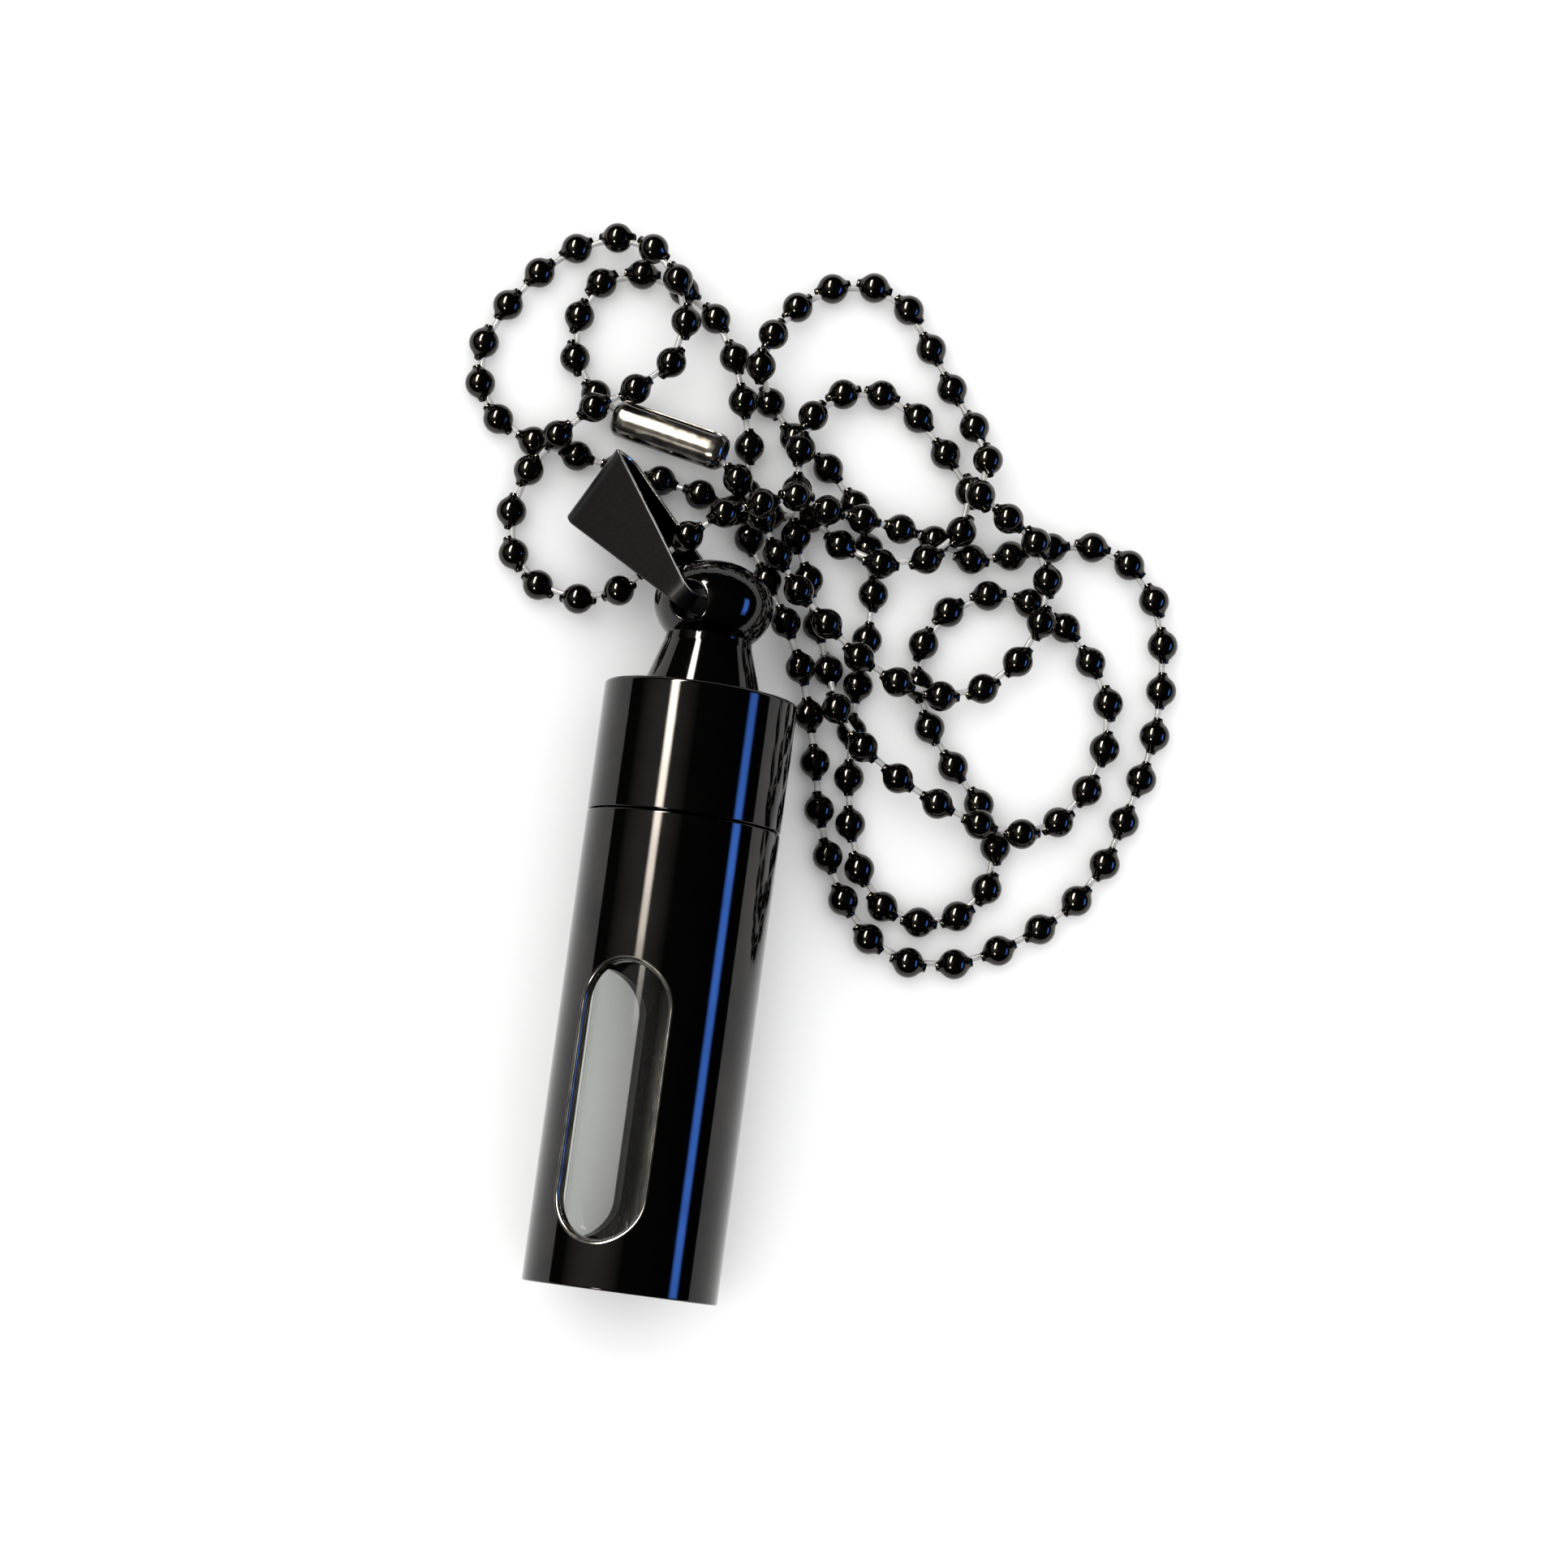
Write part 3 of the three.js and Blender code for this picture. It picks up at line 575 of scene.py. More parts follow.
def thread_radius(angle, y):
    phase = (y / THREAD_PITCH + angle / (2 * np.pi)) % 1.0
    triangle = 1 - np.abs(2 * phase - 1)
    crest = np.clip((triangle - 0.18) / 0.64, 0, 1)  # flat roots and crests, straight flanks
    fade_in = np.clip((y - THREAD_START_Y) / 0.5, 0, 1)
    fade_out = np.clip((THREAD_END_Y - 0.05 - y) / 0.4, 0, 1)
    return THREAD_ROOT + THREAD_HEIGHT * crest * fade_in * fade_out


def thread_rows(segments, verts, normals):
    """Adds the threaded rows, with normals from the slopes of the thread."""
    rows = []
    angles = 2 * np.pi * np.arange(segments) / segments
    y_step, angle_step = 0.01, 0.002
    for y in np.linspace(THREAD_START_Y, THREAD_END_Y, 58)[1:-1]:
        rows.append(list(range(len(verts), len(verts) + segments)))
        radii = thread_radius(angles, y)
        y_slopes = (
            thread_radius(angles, y + y_step) - thread_radius(angles, y - y_step)
        ) / (2 * y_step)
        angle_slopes = (
            thread_radius(angles + angle_step, y) - thread_radius(angles - angle_step, y)
        ) / (2 * angle_step)
        for angle, radius, y_slope, angle_slope in zip(angles, radii, y_slopes, angle_slopes):
            verts.append(radial(angle) * radius + [0, y, 0])
            normals.append(
                radial(angle) - [0, y_slope, 0] - around(angle) * angle_slope / radius)
    return rows


def build_cap():
    segments = 160
    plug_end = filleted([
        (0, PLUG_START_Y, 0),
        (PLUG_RADIUS - 0.25, PLUG_START_Y, 0.12),
        (PLUG_RADIUS - 0.25, THREAD_START_Y, 0.05),
    ], arc_steps=4)
    hole_floor_y = CAP_END_Y - STUD_HOLE_DEPTH
    head = filleted([
        (THREAD_ROOT, THREAD_END_Y, 0),
        (THREAD_ROOT, CAP_START_Y, 0.1),
        (CASE_RADIUS, CAP_START_Y, 0.14),
        (CASE_RADIUS, CAP_END_Y, 0.3),
        (STUD_HOLE_RADIUS, CAP_END_Y, 0.12),
        (STUD_HOLE_RADIUS, hole_floor_y, 0.2),
        (0, hole_floor_y, 0),
    ], arc_steps=6)
    verts, normals = [], []
    rows = turn_profile(plug_end, segments, verts, normals)
    rows += thread_rows(segments, verts, normals)
    rows += turn_profile(head, segments, verts, normals)
    make("cap_body", verts, bridge_all(rows), [BLACK], "cap", "cap", normals)


build_cap()

# ---- finial: stud, neck and flattened ball with a flared cross-hole, all blended -----------------
NECK_BASE_RADIUS = 4.56
NECK_RADIUS = 3.34
WAIST_Y = 50.6
BALL_Y = 53.5
BALL_RADIUS = 4.65
BALL_RISE = 3.35  # from the ball's centre to its top, towards +Y
BALL_DROP = 4.0  # the same towards the cap
EYE_CENTRE = BAIL_ORIGIN + 0.25 * BAIL_U
EYE_AXIS = unit(BAIL_W)
EYE_RADIUS = 1.15
EYE_FLARE = 0.35  # growth of the radius at EYE_FLARE_REACH from the centre
EYE_FLARE_REACH = 4.2
EYE_FLARE_LIMIT = 1.3  # the most the flare grows, as a multiple of EYE_FLARE
EYE_BLEND = 0.2
FINIAL_CELL = 0.13


def finial_profile():
    """The outline (radius, y) from the stud's end to the top of the ball."""
    profile = [
        (0.0, CAP_END_Y - STUD_LENGTH),
        (STUD_RADIUS, CAP_END_Y - STUD_LENGTH),
        (STUD_RADIUS, CAP_END_Y + 0.03),
        (NECK_BASE_RADIUS, CAP_END_Y + 0.03),
        (NECK_BASE_RADIUS, CAP_END_Y + 0.3),
        (NECK_RADIUS + 0.1, WAIST_Y - 0.45),
    ]
    start = math.pi - math.asin(NECK_RADIUS / BALL_RADIUS)
    steps = 40
    for i in range(steps + 1):
        angle = start - start * i / steps
        height = BALL_DROP if math.cos(angle) < 0 else BALL_RISE
        radius = BALL_RADIUS * math.sin(angle) if i < steps else 0.0
        profile.append((radius, BALL_Y + height * math.cos(angle)))
    return np.array(profile)


FINIAL_PROFILE = finial_profile()


def finial_distance(radius, y):
    """Signed distance to the turned outline, negative inside."""
    nearest = np.full(radius.shape, 1e9)
    inside = np.zeros(radius.shape, bool)
    for (radius0, y0), (radius1, y1) in zip(FINIAL_PROFILE, FINIAL_PROFILE[1:]):
        run, rise = radius1 - radius0, y1 - y0
        along = ((radius - radius0) * run + (y - y0) * rise) / (run * run + rise * rise)
        along = np.clip(along, 0, 1)
        gap = (radius - radius0 - along * run) ** 2 + (y - y0 - along * rise) ** 2
        nearest = np.minimum(nearest, gap)
        if rise != 0:
            inside ^= ((y0 > y) != (y1 > y)) & (radius < radius0 + run * (y - y0) / rise)
    distance = np.sqrt(nearest)
    return np.where(inside, -distance, distance)


def finial_field(points):
    """The turned body with the flared eye cut out, the two blended smoothly."""
    x, y, z = points[..., 0], points[..., 1], points[..., 2]
    body = finial_distance(np.sqrt(x * x + z * z), y)
    offset = points - EYE_CENTRE
    along = offset @ EYE_AXIS
    from_axis = np.sqrt(np.maximum((offset * offset).sum(-1) - along * along, 0))
    flare = np.minimum(EYE_FLARE_LIMIT, (along / EYE_FLARE_REACH) ** 2)
    slope = 2 * EYE_FLARE * along / EYE_FLARE_REACH**2
    eye = (EYE_RADIUS + EYE_FLARE * flare - from_axis) / np.sqrt(1 + slope**2)
    share = np.clip(0.5 + 0.5 * (body - eye) / EYE_BLEND, 0, 1)
    return eye + (body - eye) * share + EYE_BLEND * share * (1 - share)


def gradient(field, points):
    step = 0.004
    result = np.zeros_like(points)
    for axis in range(3):
        offset = np.zeros(3)
        offset[axis] = step
        result[:, axis] = (field(points + offset) - field(points - offset)) / (2 * step)
    return result


def net_points(values, cells, low, cell_size):
    """One point for each cell: the mean of the places where its edges cross the surface."""
    total, crossings = np.zeros((len(cells), 3)), np.zeros(len(cells))
    for axis in range(3):
        others = [i for i in range(3) if i != axis]
        for corner in np.ndindex(2, 2):
            start_offset = np.zeros(3, int)
            start_offset[others] = corner
            end_offset = start_offset.copy()
            end_offset[axis] = 1
            start, end = cells + start_offset, cells + end_offset
            value0, value1 = values[tuple(start.T)], values[tuple(end.T)]
            crossed = (value0 < 0) != (value1 < 0)
            along = np.where(crossed, value0 / np.where(crossed, value0 - value1, 1), 0)
            places = low + cell_size * (start + along[:, None] * (end - start))
            total[crossed] += places[crossed]
            crossings[crossed] += 1
    return total / crossings[:, None]


def net_faces(inside, numbers):
    """A quad round every grid edge that crosses the surface."""
    faces = []
    for axis in range(3):
        others = [i for i in range(3) if i != axis]
        start = [slice(1, -1)] * 3
        start[axis] = slice(0, -1)
        end = list(start)
        end[axis] = slice(1, None)
        shift = np.ones(3, int)
        shift[axis] = 0
        edges = np.argwhere(inside[tuple(start)] != inside[tuple(end)]) + shift
        quad = []
        for back in ((0, 0), (1, 0), (1, 1), (0, 1)):
            cell = edges.copy()
            cell[:, others] -= back
            quad.append(numbers[tuple(cell.T)])
        faces += np.stack(quad, 1).tolist()
    return faces


def surface_net(field, low, high, cell_size):
    """Meshes the zero surface of a field within a box."""
    counts = np.ceil((high - low) / cell_size).astype(int) + 1
    axes = [low[i] + cell_size * np.arange(counts[i]) for i in range(3)]
    values = field(np.stack(np.meshgrid(*axes, indexing="ij"), -1))
    inside = values < 0
    cell_counts = np.array(inside.shape) - 1
    corners_inside = np.zeros(cell_counts, int)
    for corner in np.ndindex(2, 2, 2):
        corners_inside += inside[tuple(slice(c, n + c) for c, n in zip(corner, cell_counts))]
    active = (corners_inside > 0) & (corners_inside < 8)
    cells = np.argwhere(active)
    numbers = -np.ones(active.shape, int)
    numbers[active] = np.arange(len(cells))
    return net_points(values, cells, low, cell_size), net_faces(inside, numbers)


def build_finial():
    low = np.array([-5.0, CAP_END_Y - STUD_LENGTH - 0.3, -5.0])
    high = np.array([5.0, BALL_Y + BALL_RISE + 0.4, 5.0])
    points, faces = surface_net(finial_field, low, high, FINIAL_CELL)
    # settle the points onto the surface in short moves
    longest_move, least_slope_squared = 0.07, 0.05
    for _ in range(3):
        slope = gradient(finial_field, points)
        steepness = np.maximum((slope * slope).sum(1), least_slope_squared)
        move = (finial_field(points) / steepness)[:, None] * slope
        size = np.linalg.norm(move, axis=1, keepdims=True)
        points -= move * np.minimum(1, longest_move / np.maximum(size, 1e-9))
    make("finial_body", points, faces, [BLACK], "cap", "finial",
         gradient(finial_field, points))


build_finial()


# ---- glass and gaskets ----------------------------------------------------------------------
def build_glass():
    inner_radius = GLASS_RADIUS - GLASS_WALL
    floor_y = GLASS_START_Y + GLASS_BASE
    corners = [
        (0, GLASS_START_Y, 0),
        (GLASS_RADIUS, GLASS_START_Y, 1.6),
        (GLASS_RADIUS, GLASS_END_Y, 0.3),
        (inner_radius, GLASS_END_Y, 0.3),
        (inner_radius, floor_y, 1.1),
        (0, floor_y, 0),
    ]
    lathe("glass_tube_body", corners, 128, GLASS, "vial", "glass_tube",
          arc_steps=9)


def build_gasket(cad_piece, body, radius, bottom_y, top_y, fillet, dish_rim, dish_floor,
                 dish_depth):
    """A rubber disc with a shallow dish in its +Y face; dish_rim and dish_floor are radii."""
    corners = [
        (0, bottom_y, 0),
        (radius, bottom_y, fillet),
        (radius, top_y, fillet),
        (dish_rim, top_y, 0.08),
        (dish_floor, top_y - dish_depth, 0.08),
        (0, top_y - dish_depth, 0),
    ]
    lathe(cad_piece + "_body", corners, 96, RUBBER, body, cad_piece)


build_glass()
build_gasket(
    "lower_gasket", "vial", radius=6.05, bottom_y=BASE_THICKNESS + 0.02,
    top_y=GLASS_START_Y - 0.05, fillet=0.28, dish_rim=4.6, dish_floor=4.2, dish_depth=0.2)
build_gasket(
    "upper_gasket", "cap", radius=5.85, bottom_y=GLASS_END_Y + 0.05,
    top_y=PLUG_START_Y - 0.05, fillet=0.4, dish_rim=2.6, dish_floor=2.4, dish_depth=0.15)

# ---- bail: tapered strip folded into a closed loop, with rounded edges ---------------------------
BAIL_THICKNESS = 0.5
BAIL_EDGE_RADIUS = 0.16
BAIL_NEAR_HALF_WIDTH = 0.78  # at the finial
BAIL_FAR_HALF_WIDTH = 3.3
BAIL_LENGTH = 14.774
BAIL_SKEW = 0.14  # shift along U for each mm across, at the far end
BAIL_RINGS = 220
# The strip's middle line round the loop: (along U, along W).
BAIL_PATH = np.array([
    (0.25, 4.15), (0.34, 4.55), (0.61, 4.87), (0.98, 5.03), (1.40, 5.02), (3.77, 4.34),
    (6.15, 3.66), (8.53, 2.99), (10.91, 2.31), (13.29, 1.64), (13.69, 1.46), (14.04, 1.19),
    (14.30, 0.84), (14.47, 0.44), (14.52, 0.00), (14.47, -0.44), (14.30, -0.84), (14.04, -1.19),
    (13.69, -1.46), (13.29, -1.64), (10.91, -2.31), (8.53, -2.99), (6.15, -3.66), (3.77, -4.34),
    (1.40, -5.02), (0.98, -5.03), (0.61, -4.87), (0.34, -4.55), (0.25, -4.15), (0.25, -2.77),
    (0.25, -1.38), (0.25, 0.00), (0.25, 1.38), (0.25, 2.77),
])


def between(t, start, end, first, second):
    return (end - t) / (end - start) * first + (t - start) / (end - start) * second


def smooth_loop(points, count):
    """Evenly spaced points on a closed centripetal Catmull-Rom curve."""
    total = len(points)
    fine = []
    for i in range(total):
        p0, p1, p2, p3 = (points[(i + k) % total] for k in (-1, 0, 1, 2))
        t0 = 0.0
        t1 = t0 + np.linalg.norm(p1 - p0) ** 0.5
        t2 = t1 + np.linalg.norm(p2 - p1) ** 0.5
        t3 = t2 + np.linalg.norm(p3 - p2) ** 0.5
        for t in np.linspace(t1, t2, 17)[:-1]:
            a1 = between(t, t0, t1, p0, p1)
            a2 = between(t, t1, t2, p1, p2)
            a3 = between(t, t2, t3, p2, p3)
            b1 = between(t, t0, t2, a1, a2)
            b2 = between(t, t1, t3, a2, a3)
            fine.append(between(t, t1, t2, b1, b2))
    ring = np.array(fine + fine[:1])
    travelled = np.concatenate([[0], np.cumsum(np.linalg.norm(np.diff(ring, axis=0), axis=1))])
    wanted = np.linspace(0, travelled[-1], count + 1)[:-1]
    return np.stack([np.interp(wanted, travelled, ring[:, k]) for k in range(2)], 1)


def bail_section():
    """Four rounded corners of five points: (side sign, out sign, cosine, sine)."""
    return [
        (side, out, math.cos(math.radians(start + 22.5 * k)),
         math.sin(math.radians(start + 22.5 * k)))
        for side, out, start in ((1, 1, 0), (-1, 1, 90), (-1, -1, 180), (1, -1, 270))
        for k in range(5)
    ]


def build_bail():
    path = smooth_loop(BAIL_PATH, BAIL_RINGS)
    tangents = np.roll(path, -1, 0) - np.roll(path, 1, 0)
    tangents /= np.linalg.norm(tangents, axis=1, keepdims=True)
    outwards = np.stack([-tangents[:, 1], tangents[:, 0]], 1)
    # the taper runs between 0.6 mm along U and 1.2 mm short of the bail's length
    tapers = np.clip((path[:, 0] - 0.6) / (BAIL_LENGTH - 1.8), 0, 1)
    section = bail_section()
    verts, normals = [], []
    for place, outward, taper in zip(path, outwards, tapers):
        half_width = BAIL_NEAR_HALF_WIDTH + (BAIL_FAR_HALF_WIDTH - BAIL_NEAR_HALF_WIDTH) * taper
        for side, out, cosine, sine in section:
            across = side * (half_width - BAIL_EDGE_RADIUS) + BAIL_EDGE_RADIUS * cosine
            depth = out * (BAIL_THICKNESS / 2 - BAIL_EDGE_RADIUS) + BAIL_EDGE_RADIUS * sine
            along_u, along_w = place + outward * depth
            along_u += BAIL_SKEW * across * taper
            verts.append(BAIL_ORIGIN + BAIL_U * along_u + BAIL_W * along_w + BAIL_V * across)
            normal_u, normal_w = outward * sine
            normals.append(BAIL_U * normal_u + BAIL_W * normal_w + BAIL_V * cosine)
    # satin outside and -V edge (0), polished +V edge (1), black face inside the loop (2)
    section_materials = [1] * 2 + [0] * 12 + [2] + [1] * 5
    make("bail_strap", verts, loft(BAIL_RINGS, len(section), closed=True),
         [BAIL_FACE, BAIL_EDGE, BLACK], "bail", "bail", normals,
         section_materials * BAIL_RINGS)


build_bail()

# ---- ball chain -----------------------------------------------------------------------------
BEAD_RADIUS = 1.2
BEAD_SEGMENTS = 28
BEAD_NECK_ANGLE = 50  # degrees from the bead's widest point to where the ball draws out
LIP_RADIUS = 0.37
LIP_HOLE_RADIUS = 0.27
LIP_Y = 1.46  # the lip's end, from the bead's centre
LIP_ROUND = 0.05
WIRE_RADIUS = 0.25
WIRE_SEGMENTS = 12

# Bead centres (x, y, z) in order round the chain.
BEADS = np.array([
    (-2.11, 66.39, -4.61), (0.44, 64.20, -3.96), (2.64, 61.44, -3.78), (4.35, 58.61, -3.78),
    (6.36, 56.02, -3.76), (8.92, 53.73, -3.88), (11.74, 51.51, -4.24), (15.00, 49.98, -4.45),
    (18.54, 49.38, -4.79), (21.74, 50.48, -5.26), (24.18, 52.96, -5.20), (25.62, 56.20, -4.72),
    (25.68, 59.58, -4.60), (24.37, 62.38, -4.16), (21.93, 63.86, -3.45), (19.52, 65.48, -3.70),
    (19.79, 68.57, -4.88), (18.42, 71.26, -5.99), (16.28, 74.13, -6.28), (14.23, 77.11, -6.27),
    (12.06, 80.00, -6.27), (9.10, 81.42, -6.28), (5.82, 80.90, -6.27), (3.26, 78.88, -5.63),
    (1.67, 76.20, -4.51), (1.04, 73.40, -3.85), (2.11, 71.07, -6.29), (4.41, 68.53, -6.29),
    (7.37, 66.45, -6.27), (9.85, 63.81, -6.28), (11.35, 60.48, -6.29), (12.23, 56.92, -6.27),
    (12.21, 53.23, -6.27), (11.98, 49.55, -6.27), (11.97, 45.87, -6.28), (12.23, 42.20, -6.28),
    (12.81, 38.59, -6.28), (13.98, 35.16, -6.27), (16.17, 32.48, -6.27), (19.14, 31.63, -6.27),
    (22.08, 32.50, -6.27), (24.07, 34.95, -6.27), (24.33, 38.30, -6.28), (22.63, 41.48, -6.28),
    (20.23, 44.16, -6.27), (18.01, 46.97, -6.27), (16.71, 50.23, -6.28), (16.68, 53.50, -6.27),
    (18.30, 56.31, -6.27), (21.24, 58.03, -6.27), (24.57, 57.87, -6.28), (27.60, 56.31, -6.28),
    (29.93, 53.84, -6.27), (31.71, 50.77, -6.27), (31.88, 47.17, -6.27), (30.92, 43.70, -6.27),
    (28.96, 40.87, -5.90), (26.21, 39.47, -4.99), (22.79, 39.73, -4.48), (19.33, 40.89, -4.56),
    (16.01, 42.46, -4.54), (12.97, 44.52, -4.42), (10.56, 47.29, -4.76), (9.51, 50.45, -6.28),
    (8.20, 53.87, -6.29), (6.99, 57.29, -5.84), (5.56, 60.48, -4.95), (5.18, 64.05, -4.51),
    (5.04, 67.30, -4.19), (5.65, 70.23, -4.92), (7.79, 72.45, -5.84), (10.83, 72.88, -6.27),
    (13.93, 71.44, -6.27), (16.44, 68.84, -6.27), (18.75, 66.08, -6.01), (18.46, 62.62, -4.99),
    (15.99, 60.00, -4.64), (12.49, 59.13, -4.50), (9.12, 60.29, -5.16), (6.59, 62.34, -6.27),
    (3.20, 62.07, -6.15), (0.36, 61.82, -4.77), (-2.36, 62.81, -5.32), (-5.63, 63.62, -6.00),
    (-9.04, 64.23, -6.27), (-12.50, 64.76, -6.28), (-16.05, 65.44, -6.27), (-19.07, 66.86, -6.27),
    (-20.89, 69.53, -6.27), (-21.05, 72.81, -6.27), (-19.59, 76.10, -6.27), (-17.47, 79.03, -6.27),
    (-14.82, 81.37, -6.27), (-11.67, 82.54, -5.72), (-8.67, 81.79, -4.63), (-6.39, 79.44, -3.83),
    (-5.30, 76.19, -4.05), (-6.02, 72.81, -4.26), (-8.51, 70.30, -4.10), (-11.56, 68.35, -3.97),
    (-14.12, 65.89, -4.71), (-16.06, 62.97, -5.61), (-16.99, 59.63, -6.21), (-16.36, 56.30, -6.28),
    (-14.10, 54.08, -6.20), (-10.78, 53.30, -5.48), (-7.61, 54.16, -4.07), (-5.16, 56.23, -2.44),
    (-2.77, 58.79, -1.79), (-0.18, 60.93, -1.40), (2.60, 62.05, -1.34), (5.20, 63.14, -2.16),
    (7.78, 62.61, -3.48), (10.62, 62.45, -4.31), (13.69, 62.24, -5.39), (16.46, 61.84, -6.28),
    (19.55, 60.76, -6.28), (22.62, 61.45, -6.27), (25.74, 62.51, -6.27), (28.94, 62.98, -6.27),
    (32.01, 61.97, -6.27), (34.30, 59.38, -6.27), (35.41, 55.94, -6.27), (35.74, 52.33, -6.27),
    (35.66, 48.71, -6.27), (35.05, 45.14, -6.26), (34.11, 41.61, -6.27), (33.02, 38.12, -6.27),
    (31.20, 34.96, -6.27), (28.63, 32.35, -6.27), (25.62, 30.26, -6.27), (22.31, 28.74, -6.27),
    (18.73, 28.39, -6.27), (15.42, 29.81, -6.27), (13.05, 32.56, -6.28), (11.39, 35.84, -6.28),
    (10.24, 39.37, -6.27), (9.41, 43.03, -6.23), (8.47, 46.67, -5.99), (7.31, 50.17, -5.08),
    (5.67, 53.57, -5.02), (3.73, 56.77, -5.39), (1.91, 59.96, -5.92), (1.23, 63.61, -6.28),
    (0.96, 67.25, -5.92), (0.02, 70.66, -5.05), (-1.15, 74.09, -5.23), (-3.08, 77.11, -5.72),
    (-5.89, 79.17, -6.28), (-9.33, 80.00, -6.28), (-12.46, 78.85, -6.27), (-13.84, 75.96, -6.27),
    (-13.73, 72.56, -6.27), (-11.66, 69.79, -6.04), (-8.63, 67.94, -5.78),
])
LAST_BEAD = len(BEADS) - 1
# The CAD pieces in order: (body, last bead). A swivel is one bead and has its own body.
CHAIN_PIECES = [
    ("chain", 5), ("swivel", 6), ("chain", 11), ("chain", 16),
    ("top_loop", 19), ("swivel", 20), ("top_loop", 23), ("chain", 27),
    ("swivel", 28), ("chain", 35), ("swivel", 36), ("chain", 44), ("chain", 51),
    ("inner_loop", 53), ("swivel", 54), ("inner_loop", 56),
    ("chain", 62), ("chain", 68), ("chain", 74), ("chain", 80), ("chain", 86),
    ("left_loop", 89), ("swivel", 90), ("left_loop", 92), ("chain", 100),
    ("small_loop", 102), ("swivel", 103), ("small_loop", 105), ("chain", 113), ("chain", 120),
    ("outer_loop", 123), ("swivel", 124), ("outer_loop", 129), ("swivel", 130),
    ("outer_loop", 133), ("chain", 138), ("chain", 144), ("chain", 149),
    ("swivel", 150), ("chain", 154),
]
SWIVELS = {last for body, last in CHAIN_PIECES if body == "swivel"}
LOOP_ENDS = {
    last for (body, last), (following, _) in zip(CHAIN_PIECES, CHAIN_PIECES[1:])
    if body.endswith("_loop") and following == "chain"
}


def frame_of(axis):
    """A frame as matrix columns, with its y along an axis that isn't upright."""
    y = unit(axis)
    x = unit(np.cross([0.0, 0.0, 1.0], y))
    return np.stack([x, y, np.cross(x, y)], 1)


def bead_profile():
    """Half a bead (radius, y): from its widest point over a drawn-out lip into the hole."""
    points = []
    for angle in np.radians(np.linspace(0, BEAD_NECK_ANGLE, 12)):
        points.append((BEAD_RADIUS * math.cos(angle), BEAD_RADIUS * math.sin(angle)))
    neck_angle = math.radians(BEAD_NECK_ANGLE)
    start = np.array(points[-1])
    end = np.array([LIP_RADIUS, LIP_Y - LIP_ROUND])
    start_handle = start + np.array([-math.sin(neck_angle), math.cos(neck_angle)]) * 0.32
    end_handle = end - np.array([-0.06, 1.0]) * 0.22
    for t in np.linspace(0, 1, 8)[1:]:
        rest = 1 - t
        points.append(tuple(
            rest**3 * start + 3 * rest**2 * t * start_handle
            + 3 * rest * t**2 * end_handle + t**3 * end))
    half_lip = (LIP_RADIUS - LIP_HOLE_RADIUS) / 2
    for angle in np.radians(np.linspace(20, 180, 5)):
        points.append((LIP_HOLE_RADIUS + half_lip + half_lip * math.cos(angle),
                       LIP_Y - LIP_ROUND + LIP_ROUND * math.sin(angle)))
    points.append((LIP_HOLE_RADIUS, LIP_Y - 0.35))
    return points


def spin(profile):
    """Turns rows of (radius, y) about the Y axis, starting from +X."""
    angles = 2 * np.pi * np.arange(BEAD_SEGMENTS) / BEAD_SEGMENTS
    return np.array([
        (radius * math.cos(angle), y, radius * math.sin(angle))
        for radius, y in profile for angle in angles
    ])


def bead_template():
    """A bead about the Y axis; its hole runs right through, so its rows close on themselves."""
    half = bead_profile()
    profile = np.array([(radius, -y) for radius, y in reversed(half[1:])] + half)
    tangents = np.roll(profile, -1, 0) - np.roll(profile, 1, 0)
    tangents /= np.linalg.norm(tangents, axis=1, keepdims=True)
    normals = np.stack([tangents[:, 1], -tangents[:, 0]], 1)
    on_ball = np.abs(np.hypot(profile[:, 0], profile[:, 1]) - BEAD_RADIUS) < 1e-6
    normals[on_ball] = profile[on_ball] / BEAD_RADIUS
    return spin(profile), loft(len(profile), BEAD_SEGMENTS, closed=True), spin(normals)


def bead_axis(i):
    """The mean direction of the chain through a bead."""
    steps = [unit(BEADS[j + 1] - BEADS[j]) for j in (i - 1, i) if 0 <= j < LAST_BEAD]
    return unit(steps[0] + steps[-1])


def bead(template, i, turn):
    """The template placed at a bead and turned about its own axis."""
    verts, faces, normals = template
    cosine, sine = math.cos(turn), math.sin(turn)
    turned = np.array([[cosine, 0, sine], [0, 1, 0], [-sine, 0, cosine]])
    frame = frame_of(bead_axis(i)) @ turned
    return verts @ frame.T + BEADS[i], faces, normals @ frame.T


def wire(i):
    """The link wire from a bead to the next, narrowing at its ends inside them."""
    start, end = BEADS[i], BEADS[i + 1]
    direction = unit(end - start)
    length = np.linalg.norm(end - start)
    frame = frame_of(direction)
    # (distance from the bead's centre, radius)
    entry = [(0.62, 0.04), (0.66, 0.2), (0.78, WIRE_RADIUS), (1.1, WIRE_RADIUS)]
    rings = entry + [(length / 2, WIRE_RADIUS * 0.96)]
    rings += [(length - distance, radius) for distance, radius in reversed(entry)]
    verts, normals = [], []
    for distance, radius in rings:
        for k in range(WIRE_SEGMENTS):
            angle = 2 * math.pi * k / WIRE_SEGMENTS
            out = frame[:, 0] * math.cos(angle) + frame[:, 2] * math.sin(angle)
            verts.append(start + direction * distance + out * radius)
            normals.append(out)
    faces = loft(len(rings), WIRE_SEGMENTS)
    faces.append(tuple(range(WIRE_SEGMENTS)))
    faces.append(tuple(range(len(verts) - WIRE_SEGMENTS, len(verts))))
    return np.array(verts), faces, np.array(normals)


def merged(parts):
    faces, base = [], 0
    for part_verts, part_faces, _ in parts:
        faces += [tuple(i + base for i in face) for face in part_faces]
        base += len(part_verts)
    return np.vstack([part[0] for part in parts]), faces, np.vstack([part[2] for part in parts])


